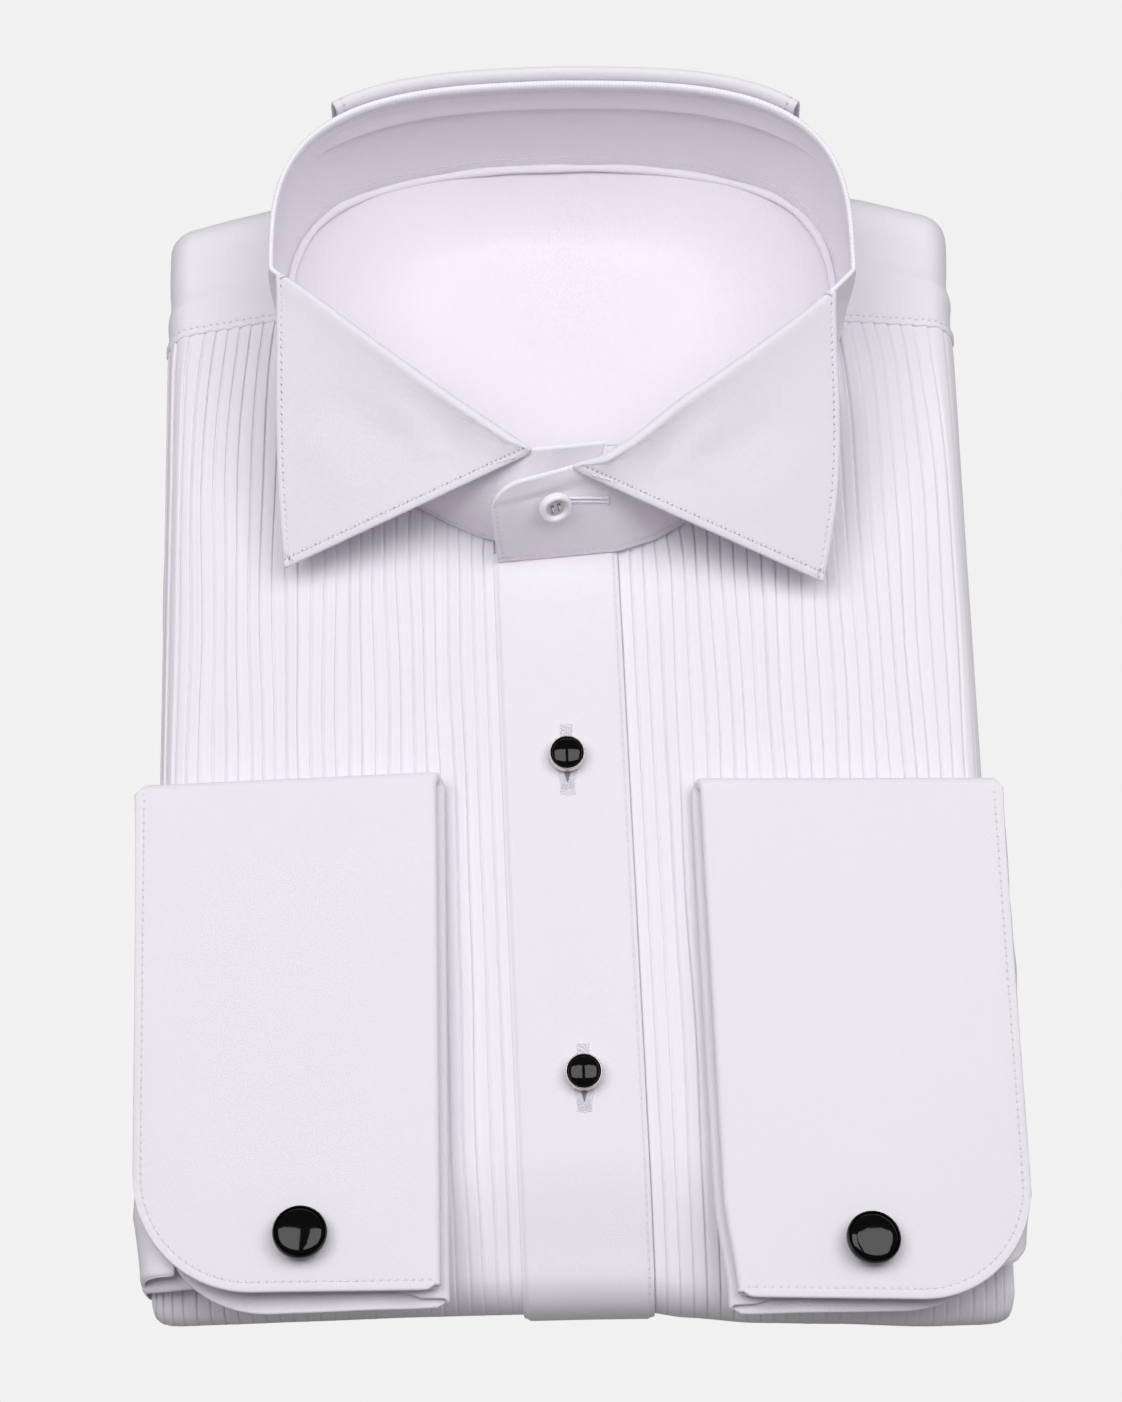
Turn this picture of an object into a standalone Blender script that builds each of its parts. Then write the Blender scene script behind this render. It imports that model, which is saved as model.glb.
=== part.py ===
"""A long sleeve evening shirt, folded into a flat packet that lies on its back.

Frame: +Z up, the packet lies on z = 0. +X is the wearer's left. +Y runs from the near end, where
the cuffs end, to the collar. The origin is the middle of the bounding box, at its base.
Lengths are in millimetres here, and MM turns them into metres as each mesh is made.

The cloth is described on one smooth surface, the skin of the packet: a point on it has a distance
u across from the centre line, round the side rolls, and a distance v along, round the end rolls.
"""

import math

import bmesh
import bpy
import numpy as np
from mathutils import Vector

MM = 0.001

# Cloth
CLOTH = 1.2            # one wall of shirting, with its turned edges
STIFF_CLOTH = 1.5      # two plies and an interlining, as in a collar
GAP = 0.35             # between pieces that touch

# The folded packet
CENTRE_Y = 171.53      # from the near end's edge to the middle of the bounding box
HALF_FLAT = 106.0      # centre line to the start of a side roll
SIDE_ROLL = 6.7        # reach of a side roll beyond that
LEFT_IN = 1.0          # the wearer's left side is this much narrower
FAR_ROLL = 9.0         # reach of the roll at the far end
ROLL_ARC = 14.0        # cloth that goes round a roll
NEAR_ROLL = 4.0        # the near end's roll is tighter
NEAR_ARC = 13.0
NEAR_DROP = 3.6        # and ends this far below the side folds
U_END = HALF_FLAT + ROLL_ARC
SIDE_TURN = math.radians(88.5)
CORNER_POWER = 0.28    # below 1 makes the packet's upright corners squarer
SIDE_FOLD_Z = 11.0     # height at which the side rolls tuck in over the layers below
CREST_NEAR = 22.5      # height of the skin on the centre line, at the near end
CREST_NECK = 25.0      # and from the neck on
DROOP = 5.5            # the skin sinks this much more towards the near end
DROOP_LENGTH = 38.0
CROWN = 2.8            # fall of the skin from the centre line to the side rolls
CROWN_POWER = 2.4
NEAR_LINE = (
    # the near end's edge in plan, drawn in at the placket: x, y
    (-113.0, 2.6), (-95.0, 2.9), (-72.0, 3.3), (-45.0, 3.8), (-24.0, 3.9), (0.0, 4.0),
    (16.0, 3.9), (27.0, 2.2), (45.0, 0.4), (66.0, -0.3), (90.0, -1.5), (113.0, -1.3),
)
FAR_EDGE = 343.7       # the far end's edge on the centre line
SHOULDER_SLOPE = 0.26
SHOULDER_ROUND = 20.0

# Neck seam, a squared oval that is pointed towards the front
NECK_HALF = 80.0
NECK_Y = 286.0         # where it is widest
NECK_BACK = 49.0
NECK_FRONT = 74.5
BACK_POWER = 2.9
FRONT_POWER = 1.7

# Pleats and placket
PLEATS = 29            # on each front; the folds all face the wearer's left
PLEAT_RISE = 0.85
PLEAT_FOLD = 0.45      # width of the fold's upright edge
PLEAT_SPLAY = 4.0      # the pleats start this much nearer the centre at the yoke seam
SPLAY_LENGTH = 25.0
PLACKET_HALF = 17.0
PLACKET_X = 1.15       # its centre at the near end
PLACKET_SKEW = -0.0222
PLACKET_LIFT = CLOTH + 0.45
PLACKET_CLOTH = 1.3

# Yoke seam, in front of each shoulder
SEAM_Y = {"left": 284.2, "right": 288.0}
SEAM_FALL = {"left": 2.4, "right": 5.6}    # lower at the side than at the neck

# Collar
TOP_HALF = 81.0        # the band's top edge, in plan
TOP_Y = 283.0
TOP_BACK = 56.7
TOP_FRONT = 60.4
TOP_FRONT_POWER = 1.05
TOP_BACK_POWER = 3.3
TOP_TURN = 0.045       # its front is turned a little against the packet
TOP_Z = {"front": 56.0, "side": 60.0, "back": 64.5}
BAND_LIFT = (3.5, 2.6, 1.7)    # the band's foot over the skin: placket, pleats, yoke
BAND_BELLY = 0.9       # the band bows out this much between foot and top
END_BELLY = 1.8        # and this much more near its right end, which stands upright
BAND_END = 0.03        # where the loop ends and the straight ends begin, as a share of the loop
LOOP = 450.0           # length of the loop
OVER_LENGTH = 33.0     # the left end, which lies on top
UNDER_LENGTH = 20.0
OVER_STEP = 2.0        # the left end stands this far out from the right one
END_CORNER = 9.0       # round corner of the left end

# Wings: the tip, and the stretch of the loop that is folded out
WING_TIPS = {"left": (70.0, 199.0, 34.0), "right": (-78.1, 206.3, 34.0)}
WING_FOLD = {"left": (0.775, 0.988), "right": (0.237, 0.030)}
WING_ROLL = 2.0        # reach of the fold over the band
WING_END = 2.8         # width that is left at the front end of a wing
WING_PUFF = 0.6
WING_SAG = 2.0
WING_BOW = {"left": 3.0, "right": -1.2}    # bow of the outer edge

# Fall at the back of the neck
FALL_ENDS = (0.368, 0.641)    # stretch of the loop that it covers
FALL_SECTION = (
    # out from the band, up from its top edge
    (1.7, -6.0),
    (1.8, -1.0),
    (2.3, 0.9),
    (3.4, 1.6),
    (4.5, 0.8),
    (5.1, -1.5),
    (5.6, -12.0),
    (6.3, -25.0),
)

# Inside of the neck
BASIN_DEPTH = 10.0     # the back's inside lies this much lower than the neck seam
BASIN_SLOPE = 0.45
SLOT = 3.0             # open slot under the fronts at the neck
BACK_SEAM_Y = 250.0    # inner yoke to back panel
BOX_PLEAT = 0.9

# Double cuffs
CUFF_WALL = 1.4
CUFF_INNER = 1.3       # half the height between the two inner layers
CUFF_OUTER = 3.2       # half the height between the two outer layers
CUFF_CORNER = 31.0
LOWER_SHIFT = 2.8      # the lower half lies this much nearer the placket
CUFFS = {
    # fold_x and free_x at the near end and at the far end, ends in y, middle height
    "left": {"side": 1, "fold_x": (38.2, 35.6), "free_x": (116.6, 115.8), "lower_free_x": 109.5,
             "near_y": (0.4, -2.0), "inner_near_y": 4.8, "lower_near_y": -2.7,
             "far_y": (142.0, 141.0), "mid_z": (30.6, 28.9)},
    "right": {"side": -1, "fold_x": (-38.7, -38.6), "free_x": (-116.8, -118.25), "lower_free_x": -109.5,
              "near_y": (3.9, 4.6), "inner_near_y": 9.0, "lower_near_y": 0.2,
              "far_y": (145.3, 143.7), "mid_z": (30.6, 28.9)},
}

# Sleeves, where they come out of the cuffs and go round the packet's sides
SLEEVE_CLOTH = 3.2     # height of the flattened sleeve
SLEEVE_THIN = 1.3      # and where it ends, or is tucked under
SLEEVE_SLANT = 0.3     # its ends lie further in towards the floor
SLEEVE_PATH = (
    # inner face: out from the centre line, height
    (106.8, 26.9),
    (109.6, 26.7),
    (112.2, 25.3),
    (114.1, 22.8),
    (114.9, 19.0),
    (115.1, 13.0),
    (115.1, 7.5),
    (114.8, 5.0),
    (113.6, 3.8),
    (110.6, 3.5),
)
SLEEVE_Y = {"left": (10.5, 135.0), "right": (0.5, 138.0)}

# Layers that show at the packet's edges: reach beyond the skin's outline, lowest and highest z
LAYERS = (
    (-5.0, 0.0, 4.4),
    (1.0, 4.6, 7.5),
    (1.3, 7.6, 10.5),
)

# Studs, cufflinks and button
STUD_RADIUS = 5.0
STUDS = {"upper": (-1.5, 151.9), "lower": (1.0, 61.9)}
LINK_RADIUS = 7.1
LINKS = {
    # x, y, lean away from the near end and lean to the right, in degrees
    "left": (74.2, 13.6, 7.0, 8.0),
    "right": (-73.3, 18.1, 7.0, 2.0),
}
BUTTON_RADIUS = 4.6
BUTTON_AT = (1.005, 0.70)   # share of the loop, share of the band's height
BUTTON_AXIS = (0.30, -0.865, 0.40)
BUTTON_SHANK = 0.85    # thread between the band and the middle of the button's underside
HOLE_RADIUS = 0.55
HOLE_OFFSET = 1.15
ROUND_STEPS = 20

COTTON = (0.83, 0.81, 0.87, 1.0)
BLACK = (0.008, 0.008, 0.009, 1.0)
SILVER = (0.78, 0.76, 0.73, 1.0)
DARK_METAL = (0.05, 0.05, 0.055, 1.0)
BUTTON_WHITE = (0.86, 0.85, 0.88, 1.0)


def clear_scene():
    for obj in list(bpy.data.objects):
        bpy.data.objects.remove(obj, do_unlink=True)


def finish_material(name, colour, roughness, metallic=0.0):
    material = bpy.data.materials.new(name)
    material.use_nodes = True
    shader = material.node_tree.nodes["Principled BSDF"]
    shader.inputs["Base Color"].default_value = colour
    shader.inputs["Roughness"].default_value = roughness
    shader.inputs["Metallic"].default_value = metallic
    return material


def smooth(t):
    """0 to 1 with level ends."""
    t = np.clip(t, 0.0, 1.0)
    return t * t * (3.0 - 2.0 * t)


def mix(a, b, share):
    return a + (b - a) * share


# ---------------------------------------------------------------- meshes


def add_mesh(name, points, faces, material):
    """A closed solid from points in millimetres, with its faces turned outwards."""
    mesh = bpy.data.meshes.new(name)
    moved = (np.asarray(points, float) - (0.0, CENTRE_Y, 0.0)) * MM
    mesh.from_pydata([tuple(p) for p in moved], [], faces)
    work = bmesh.new()
    work.from_mesh(mesh)
    bmesh.ops.recalc_face_normals(work, faces=work.faces)
    work.to_mesh(mesh)
    work.free()
    mesh.materials.append(material)
    obj = bpy.data.objects.new(name, mesh)
    bpy.context.scene.collection.objects.link(obj)
    return obj


def quads(index):
    """Quads of a grid of point indices."""
    rows, columns = index.shape
    return [
        (index[i, j], index[i, j + 1], index[i + 1, j + 1], index[i + 1, j])
        for i in range(rows - 1)
        for j in range(columns - 1)
    ]


def shares_along(line):
    """How far along a line each of its points is, as a share of its length."""
    steps = np.linalg.norm(np.diff(line, axis=0), axis=1)
    run = np.concatenate([[0.0], np.cumsum(steps)])
    return run / run[-1]


def strip(first, second, first_at, second_at):
    """Triangles between two rows of point indices, matched by how far along each point is."""
    faces = []
    i = j = 0
    while i < len(first) - 1 or j < len(second) - 1:
        if j == len(second) - 1 or (i < len(first) - 1 and first_at[i + 1] <= second_at[j + 1]):
            faces.append((first[i], first[i + 1], second[j]))
            i += 1
        else:
            faces.append((first[i], second[j + 1], second[j]))
            j += 1
    return faces


def wall(name, outer, inner, material):
    """A wall of cloth between two grids with as many rows, closed along its four edges."""
    count = outer.shape[0] * outer.shape[1]
    top = np.arange(count).reshape(outer.shape[:2])
    bottom = count + np.arange(inner.shape[0] * inner.shape[1]).reshape(inner.shape[:2])
    faces = quads(top) + quads(bottom)
    for edge in (0, -1):
        faces += quads(np.stack([top[:, edge], bottom[:, edge]]))
        at = [shares_along(side[edge]) for side in (outer, inner)]
        faces += strip(list(top[edge]), list(bottom[edge]), *at)
    points = np.concatenate([outer.reshape(-1, 3), inner.reshape(-1, 3)])
    return add_mesh(name, points, [tuple(int(k) for k in face) for face in faces], material)


def grid_normals(grid):
    """Unit normals of a grid of points."""
    along = np.gradient(grid, axis=0)
    across = np.gradient(grid, axis=1)
    normal = np.cross(across, along)
    return normal / np.linalg.norm(normal, axis=-1, keepdims=True)


def thick_wall(name, middle, thickness, material):
    """A wall of one thickness about a grid of points."""
    offset = grid_normals(middle) * thickness / 2.0
    return wall(name, middle + offset, middle - offset, material)


def turned(name, profile, place, axis, material, steps=ROUND_STEPS):
    """A turned solid: profile rows are (radius, height), from the axis back to the axis."""
    ring = np.arange(steps) * 2.0 * math.pi / steps
    rows = np.array(profile[1:-1])
    points = [(0.0, 0.0, profile[0][1]), (0.0, 0.0, profile[-1][1])]
    for radius, height in rows:
        points += [(radius * math.cos(a), radius * math.sin(a), height) for a in ring]
    faces = []
    for k in range(steps):
        n = (k + 1) % steps
        faces.append((0, 2 + k, 2 + n))
        last = 2 + (len(rows) - 1) * steps
        faces.append((1, last + n, last + k))
        for row in range(len(rows) - 1):
            a = 2 + row * steps
            faces.append((a + k, a + n, a + steps + n, a + steps + k))
    obj = add_mesh(name, np.array(points) + (0.0, CENTRE_Y, 0.0), faces, material)
    obj.rotation_mode = "QUATERNION"
    obj.rotation_quaternion = Vector(axis).to_track_quat("Z", "Y")
    obj.location = (np.array(place) - (0.0, CENTRE_Y, 0.0)) * MM
    obj.data.shade_smooth()
    obj.data.set_sharp_from_angle(angle=math.radians(40.0))
    return obj


# ---------------------------------------------------------------- the packet's skin


def near_edge(x):
    """Foot of the near end, on a soft line through its table."""
    at, height = np.array(NEAR_LINE).T
    place = np.clip(np.searchsorted(at, x) - 1, 0, len(at) - 2)
    share = np.clip((x - at[place]) / (at[place + 1] - at[place]), 0.0, 1.0)
    return mix(height[place], height[place + 1], mix(smooth(share), share, 0.5))


def far_edge(x):
    """The far end slopes down with the shoulders."""
    return FAR_EDGE - SHOULDER_SLOPE * (np.sqrt(x**2 + SHOULDER_ROUND**2) - SHOULDER_ROUND)


def skin(u, v):
    """The inner face of the cloth: rolled over the sides and the ends, upright below the near roll."""
    u, v = np.broadcast_arrays(np.asarray(u, float), np.asarray(v, float))
    side = np.clip((np.abs(u) - HALF_FLAT) / ROLL_ARC, 0.0, 1.0) * SIDE_TURN
    x = np.sign(u) * (np.minimum(np.abs(u), HALF_FLAT) + SIDE_ROLL * np.sin(side))
    x = x - LEFT_IN * smooth((x - 20.0) / 80.0)
    crown = CROWN * np.minimum(np.abs(u) / HALF_FLAT, 1.0) ** CROWN_POWER
    crest = mix(CREST_NEAR, CREST_NECK, smooth(v / (NECK_Y - NECK_FRONT)))
    crest = crest - DROOP * (1.0 - smooth(v / DROOP_LENGTH))
    height = (crest - crown - SIDE_FOLD_Z) * np.cos(side)
    near = near_edge(x) + NEAR_ROLL
    far = far_edge(x) - FAR_ROLL
    near_turn = np.clip((near - v) / NEAR_ARC, 0.0, 1.0) * math.pi / 2.0
    far_turn = np.clip((v - far) / ROLL_ARC, 0.0, 1.0) * math.pi / 2.0
    squared = np.cos(side) ** CORNER_POWER
    y = np.clip(v, near, far) + squared * (FAR_ROLL * np.sin(far_turn) - NEAR_ROLL * np.sin(near_turn))
    hang = np.clip(near - NEAR_ARC - v, 0.0, None) + NEAR_DROP * (1.0 - np.cos(near_turn))
    z = SIDE_FOLD_Z + height * np.cos(near_turn + far_turn) - hang
    return np.stack([x, y, z], axis=-1)


def skin_normal(u, v):
    step = 0.4
    across = skin(u + step / 2.0, v) - skin(u - step / 2.0, v)
    along = skin(u, v + step / 2.0) - skin(u, v - step / 2.0)
    normal = np.cross(across, along)
    return normal / np.linalg.norm(normal, axis=-1, keepdims=True)


def lifted(u, v, height):
    """A point of the skin, moved out."""
    inside = np.sign(u) * np.minimum(np.abs(u), U_END - 0.3)
    return skin(u, v) + skin_normal(inside, v) * np.asarray(height)[..., None]


# ---------------------------------------------------------------- neck and collar curves


def oval_front(x, half, front, power, centre):
    """y of an oval's front half at x."""
    share = np.clip(np.abs(x) / half, 0.0, 1.0)
    return centre - front * (1.0 - share**power) ** (1.0 / power)


def oval(share, half, centre, back, front, back_power, front_power):
    """Plan of a closed loop: 0 is its front, 0.25 its right side (-X), 0.5 its back, 0.75 its left.

    Each quarter is an arc of a squared oval, with points spread evenly along it.
    """
    share = np.mod(np.asarray(share, float), 1.0)
    turn = np.linspace(0.0, math.pi / 2.0, 400)
    result = np.zeros(share.shape + (2,))
    for quarter in range(4):
        is_front = quarter in (0, 3)
        power = front_power if is_front else back_power
        reach = front if is_front else back
        x = half * np.sin(turn) ** (2.0 / power)
        y = reach * np.cos(turn) ** (2.0 / power)
        length = np.concatenate([[0.0], np.cumsum(np.hypot(np.diff(x), np.diff(y)))])
        here = (share >= quarter * 0.25) & (share <= quarter * 0.25 + 0.25)
        part = (share[here] - quarter * 0.25) * 4.0
        if quarter in (1, 3):
            part = 1.0 - part
        across = np.interp(part * length[-1], length, x)
        along = np.interp(part * length[-1], length, y)
        result[here, 0] = across * (-1.0 if quarter < 2 else 1.0)
        result[here, 1] = centre + along * (-1.0 if is_front else 1.0)
    return result


def neck_seam(share):
    return oval(share, NECK_HALF, NECK_Y, NECK_BACK, NECK_FRONT, BACK_POWER, FRONT_POWER)


def collar_top(share):
    """Top edge of the collar in plan, turned a little."""
    plan = oval(share, TOP_HALF, TOP_Y, TOP_BACK, TOP_FRONT, TOP_BACK_POWER, TOP_FRONT_POWER)
    plan[..., 1] -= TOP_TURN * plan[..., 0] * smooth((TOP_Y + 15.0 - plan[..., 1]) / 30.0)
    return plan


def top_height(share):
    """Height of the collar's top edge: lowest in front, highest at the back."""
    from_front = 1.0 - np.abs(1.0 - 2.0 * np.mod(share, 1.0))
    heights = [TOP_Z["front"], TOP_Z["side"], TOP_Z["back"]]
    return np.interp(from_front, [0.0, 0.5, 1.0], heights)


def with_ends(loop, share, over_way, under_way):
    """A loop whose two ends leave it and run straight on, the left end over the right one."""
    inside = np.clip(share, BAND_END, 1.0 - BAND_END)
    plan = loop(inside)
    over = np.clip(share - (1.0 - BAND_END), 0.0, None)[..., None] * LOOP
    under = np.clip(BAND_END - share, 0.0, None)[..., None] * LOOP
    out = np.zeros_like(plan)
    out[..., 1] = -OVER_STEP * smooth((share - 0.90) / 0.05)
    return plan + over * np.array(over_way) + under * np.array(under_way) + out


def band_foot(share):
    """Lower edge of the band: on the neck seam, clear of the pleats and the placket."""
    plan = with_ends(neck_seam, share, (-1.0, -0.08), (1.0, 0.0))
    ground = skin(plan[..., 0], plan[..., 1])[..., 2]
    off_placket = smooth((np.abs(plan[..., 0]) - PLACKET_HALF - 3.0) / 3.0)
    on_yoke = smooth((plan[..., 1] - NECK_Y - 3.0) / 8.0)
    lift = mix(mix(BAND_LIFT[0], BAND_LIFT[1], off_placket), BAND_LIFT[2], on_yoke)
    return np.concatenate([plan, (ground + lift)[..., None]], -1)


def band_top(share):
    plan = with_ends(collar_top, share, (-0.96, -0.26), (1.0, 0.1))
    return np.concatenate([plan, top_height(np.clip(share, 0.0, 1.0))[..., None]], -1)


def band_point(share, up):
    """A point of the band's middle: from foot to top, with a belly."""
    share, up = np.broadcast_arrays(share, up)
    point = mix(band_foot(share), band_top(share), up[..., None])
    foot = band_foot(share)
    out = foot - np.array([0.0, NECK_Y, 0.0])
    out[..., 2] = 0.0
    out /= np.linalg.norm(out, axis=-1, keepdims=True)
    belly = BAND_BELLY + END_BELLY * smooth((share - 0.005) / 0.03) * smooth((0.15 - share) / 0.06)
    return point + out * (belly * np.sin(math.pi * up))[..., None]


# ---------------------------------------------------------------- body pieces


def yoke_seam(u):
    """y of the seam between a front and the yoke."""
    start = np.where(u > 0.0, SEAM_Y["left"], SEAM_Y["right"])
    fall = np.where(u > 0.0, SEAM_FALL["left"], SEAM_FALL["right"])
    return start - fall * np.clip((np.abs(u) - NECK_HALF) / (U_END - NECK_HALF), 0.0, 1.0)


def front_far(u):
    """Far edge of a front: the neck seam, then the yoke seam."""
    neck = oval_front(u, NECK_HALF, NECK_FRONT, FRONT_POWER, NECK_Y)
    return np.where(np.abs(u) < NECK_HALF, neck, yoke_seam(u)) - GAP


def placket_centre(v):
    return PLACKET_X + PLACKET_SKEW * v


def along_rows(u, far):
    """v of a front's rows at each u: up the near end, round its roll and along the top."""
    near = near_edge(skin(u, 100.0)[..., 0]) + NEAR_ROLL
    foot = near - NEAR_ARC - (SIDE_FOLD_Z - NEAR_DROP) + GAP
    rows = [foot, mix(foot, near - NEAR_ARC, 0.45)]
    rows += [near - NEAR_ARC * share for share in (1.0, 0.67, 0.33)]
    rows += [near, near + 16.0, near + 32.0]
    rows += [mix(near, far, share) for share in (0.2, 0.45, 0.68, 0.84, 0.93, 1.0)]
    return np.stack(rows)


def front_columns(side):
    """Columns of a front's outer face: share of the way across the pleats, rise over the cloth."""
    fold = PLEAT_FOLD * PLEATS / (U_END - PLACKET_HALF)
    pleat = np.arange(PLEATS)[:, None]
    if side == "left":
        shares, rises = pleat + np.array([0.0, 0.45, 1.0 - fold]), [0.0, PLEAT_RISE * 0.5, PLEAT_RISE]
    else:
        shares, rises = pleat + np.array([0.0, fold, 0.55]), [0.0, PLEAT_RISE, PLEAT_RISE * 0.5]
    shares = np.concatenate([shares.ravel() / PLEATS, [1.0]])
    return shares, np.concatenate([[0.0, 0.0], np.tile(rises, PLEATS), [0.0]])


def front_face(sign, across, height):
    """Points of a front over the skin: two columns under the placket, then shares across the pleats."""
    across = np.concatenate([[0.0, 0.0], across])
    u = np.tile(sign * mix(PLACKET_HALF, U_END, across), (14, 1))
    for _ in range(4):
        v = along_rows(u[5], front_far(u[-1]))
        edge = sign * placket_centre(v) + PLACKET_HALF
        u = mix(edge, U_END, across)
        u[:, 0] = (sign * placket_centre(v) + 0.2)[:, 0]
        u[:, 1] = edge[:, 1] - 1.5
        from_seam = np.clip(front_far(sign * u[-1]) - v, 0.0, None)
        shoulder = smooth((u - 70.0) / 15.0) * (1.0 - smooth((u - 106.0) / 12.0))
        u = sign * (u - PLEAT_SPLAY * np.exp(-from_seam / SPLAY_LENGTH) * shoulder)
    return lifted(u, v, np.broadcast_to(height, u.shape))


def front_panel(side, material):
    """One front: plain under the placket, then pleats."""
    sign = 1.0 if side == "left" else -1.0
    shares, rises = front_columns(side)
    pressed = np.ones((14, 1))     # the pleats are flat in the yoke seam, and at the foot
    pressed[[0, -1]] = 0.0
    outer = front_face(sign, shares, CLOTH + rises * pressed)
    neck_share = (NECK_HALF - 19.0) / (U_END - 19.0)
    below_neck = neck_share * np.array([0.0, 0.33, 0.6, 0.78, 0.88, 0.94, 0.98, 1.0])
    beside_neck = mix(neck_share, 1.0, np.array([0.2, 0.45, 0.65, 0.77, 0.88, 1.0]))
    inner = front_face(sign, np.concatenate([below_neck, beside_neck]), 0.0)
    return wall("front_" + side, outer, inner, material)


def placket(material):
    """The band down the left front, laid on both fronts and turned down over the near end."""
    across = np.array([-1.0, -0.9, -0.3, 0.3, 0.9, 1.0])
    far = NECK_Y - NECK_FRONT - 0.2
    v = along_rows(placket_centre(0.0) + PLACKET_HALF * across, far)
    u = placket_centre(v) + PLACKET_HALF * across
    outer = lifted(u, v, np.full(u.shape, PLACKET_LIFT + PLACKET_CLOTH))
    inner = lifted(u, v, np.full(u.shape, PLACKET_LIFT))
    return wall("placket", outer, inner, material)


def yoke(material):
    """The outer yoke: over both shoulders and behind the collar, rolled down over the far end."""
    neck = neck_seam(np.linspace(0.5, 0.255, 10))
    side_u = np.array([-80.6, -84.5, -90.0, -96.0, -102.0, -106.5, -111.0, -115.5, -U_END])
    near_u = np.concatenate([neck[:, 0], side_u])
    near_v = np.concatenate([neck[:, 1], yoke_seam(side_u) + GAP])
    widen = 84.0 / NECK_HALF
    beyond = 84.0 + (np.abs(side_u) - NECK_HALF) * (U_END - 84.0) / (U_END - NECK_HALF)
    far_u = np.concatenate([neck[:, 0] * widen, -beyond])
    near_u = np.concatenate([near_u[:0:-1], -near_u])
    near_v = np.concatenate([near_v[:0:-1], near_v])
    far_u = np.concatenate([far_u[:0:-1], -far_u])
    far_v = far_edge(skin(far_u, 300.0)[..., 0]) - FAR_ROLL + ROLL_ARC
    rows = np.linspace(0.0, 1.0, 9)[:, None]
    u, v = mix(near_u, far_u, smooth(rows)), mix(near_v, far_v, rows)
    outer = lifted(u, v, np.full(u.shape, CLOTH))
    return wall("yoke", outer, lifted(u, v, np.zeros(u.shape)), material)


def neck_share_of(x, y):
    """How far a plan point lies from the neck's middle: 0 there, 1 on the neck seam."""
    back = y > NECK_Y
    reach = np.where(back, NECK_BACK, NECK_FRONT)
    power = np.where(back, BACK_POWER, FRONT_POWER)
    total = (np.abs(x) / NECK_HALF) ** power + (np.abs(y - NECK_Y) / reach) ** power
    return total ** (1.0 / power)


def basin(x, y):
    """Height of the back's inside, seen through the neck."""
    ease = smooth((1.0 - neck_share_of(x, y)) / BASIN_SLOPE)
    front = smooth((NECK_Y - 12.0 - y) / 30.0)
    depth = BASIN_DEPTH * ease + front * SLOT * (1.0 - ease)
    return skin(x, y)[..., 2] + 1.0 - depth


def basin_sheet(name, near, far, rows, relief, material):
    """A sheet on the basin between two lines of plan points, with rows at shares of the way."""
    plan = mix(near, far, rows[:, None, None])
    height = basin(plan[..., 0], plan[..., 1])
    outer = np.concatenate([plan, (height + relief)[..., None]], -1)
    inner = np.concatenate([plan, (height - CLOTH)[..., None]], -1)
    return wall(name, outer, inner, material)


def inside_of_neck(material):
    """The inner yoke, and the back panel with its centre pleat below it."""
    edge = 0.982
    middle = np.array([0.0, NECK_Y])
    back = mix(middle, neck_seam(np.linspace(0.225, 0.775, 23)), edge)
    across = np.linspace(-1.0, 1.0, 23)
    width = -mix(middle, neck_seam(np.array([0.135])), edge)[0, 0]
    seam = np.stack([across * width, np.full(23, BACK_SEAM_Y)], -1)
    rows = np.sin(np.linspace(0.0, math.pi / 2.0, 11))
    basin_sheet("yoke_lining", seam, back, rows, np.zeros((11, 23)), material)
    front = mix(middle, neck_seam(np.linspace(0.125, -0.125, 15)), edge)
    seam_low = np.stack([np.linspace(-width, width, 15), np.full(15, BACK_SEAM_Y - GAP)], -1)
    seam_low[:, 0] *= 0.98
    fold = np.where(np.abs(seam_low[:, 0]) < 12.0, BOX_PLEAT, 0.0)
    rows = np.array([0.0, 0.12, 0.3, 0.6, 1.0])
    relief = mix(0.2, 1.0, rows)[:, None] * fold[None, :]
    basin_sheet("back_panel", front, seam_low, rows, relief - 0.2, material)


def core_outline():
    """Points round the edge of the packet as (u, v), with more of them near its corners."""
    low = near_edge(0.0) + NEAR_ROLL - NEAR_ARC
    high = FAR_EDGE - FAR_ROLL + ROLL_ARC
    side = [0.0, 0.012, 0.03, 0.05, 0.07, 0.09, 0.12, 0.16, 0.28, 0.42, 0.56, 0.7, 0.82, 0.9, 0.95, 0.98]
    side = np.array(side)
    end = np.array([0.0, 0.04, 0.08, 0.13, 0.25, 0.42, 0.58, 0.75, 0.87, 0.92, 0.96])
    path = [(U_END, mix(low, high, s)) for s in side]
    path += [(mix(U_END, -U_END, s), high) for s in end]
    path += [(-U_END, mix(high, low, s)) for s in 1.0 - side[::-1] if s < 1.0]
    path += [(mix(-U_END, U_END, s), low) for s in end]
    return np.array(path)


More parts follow.
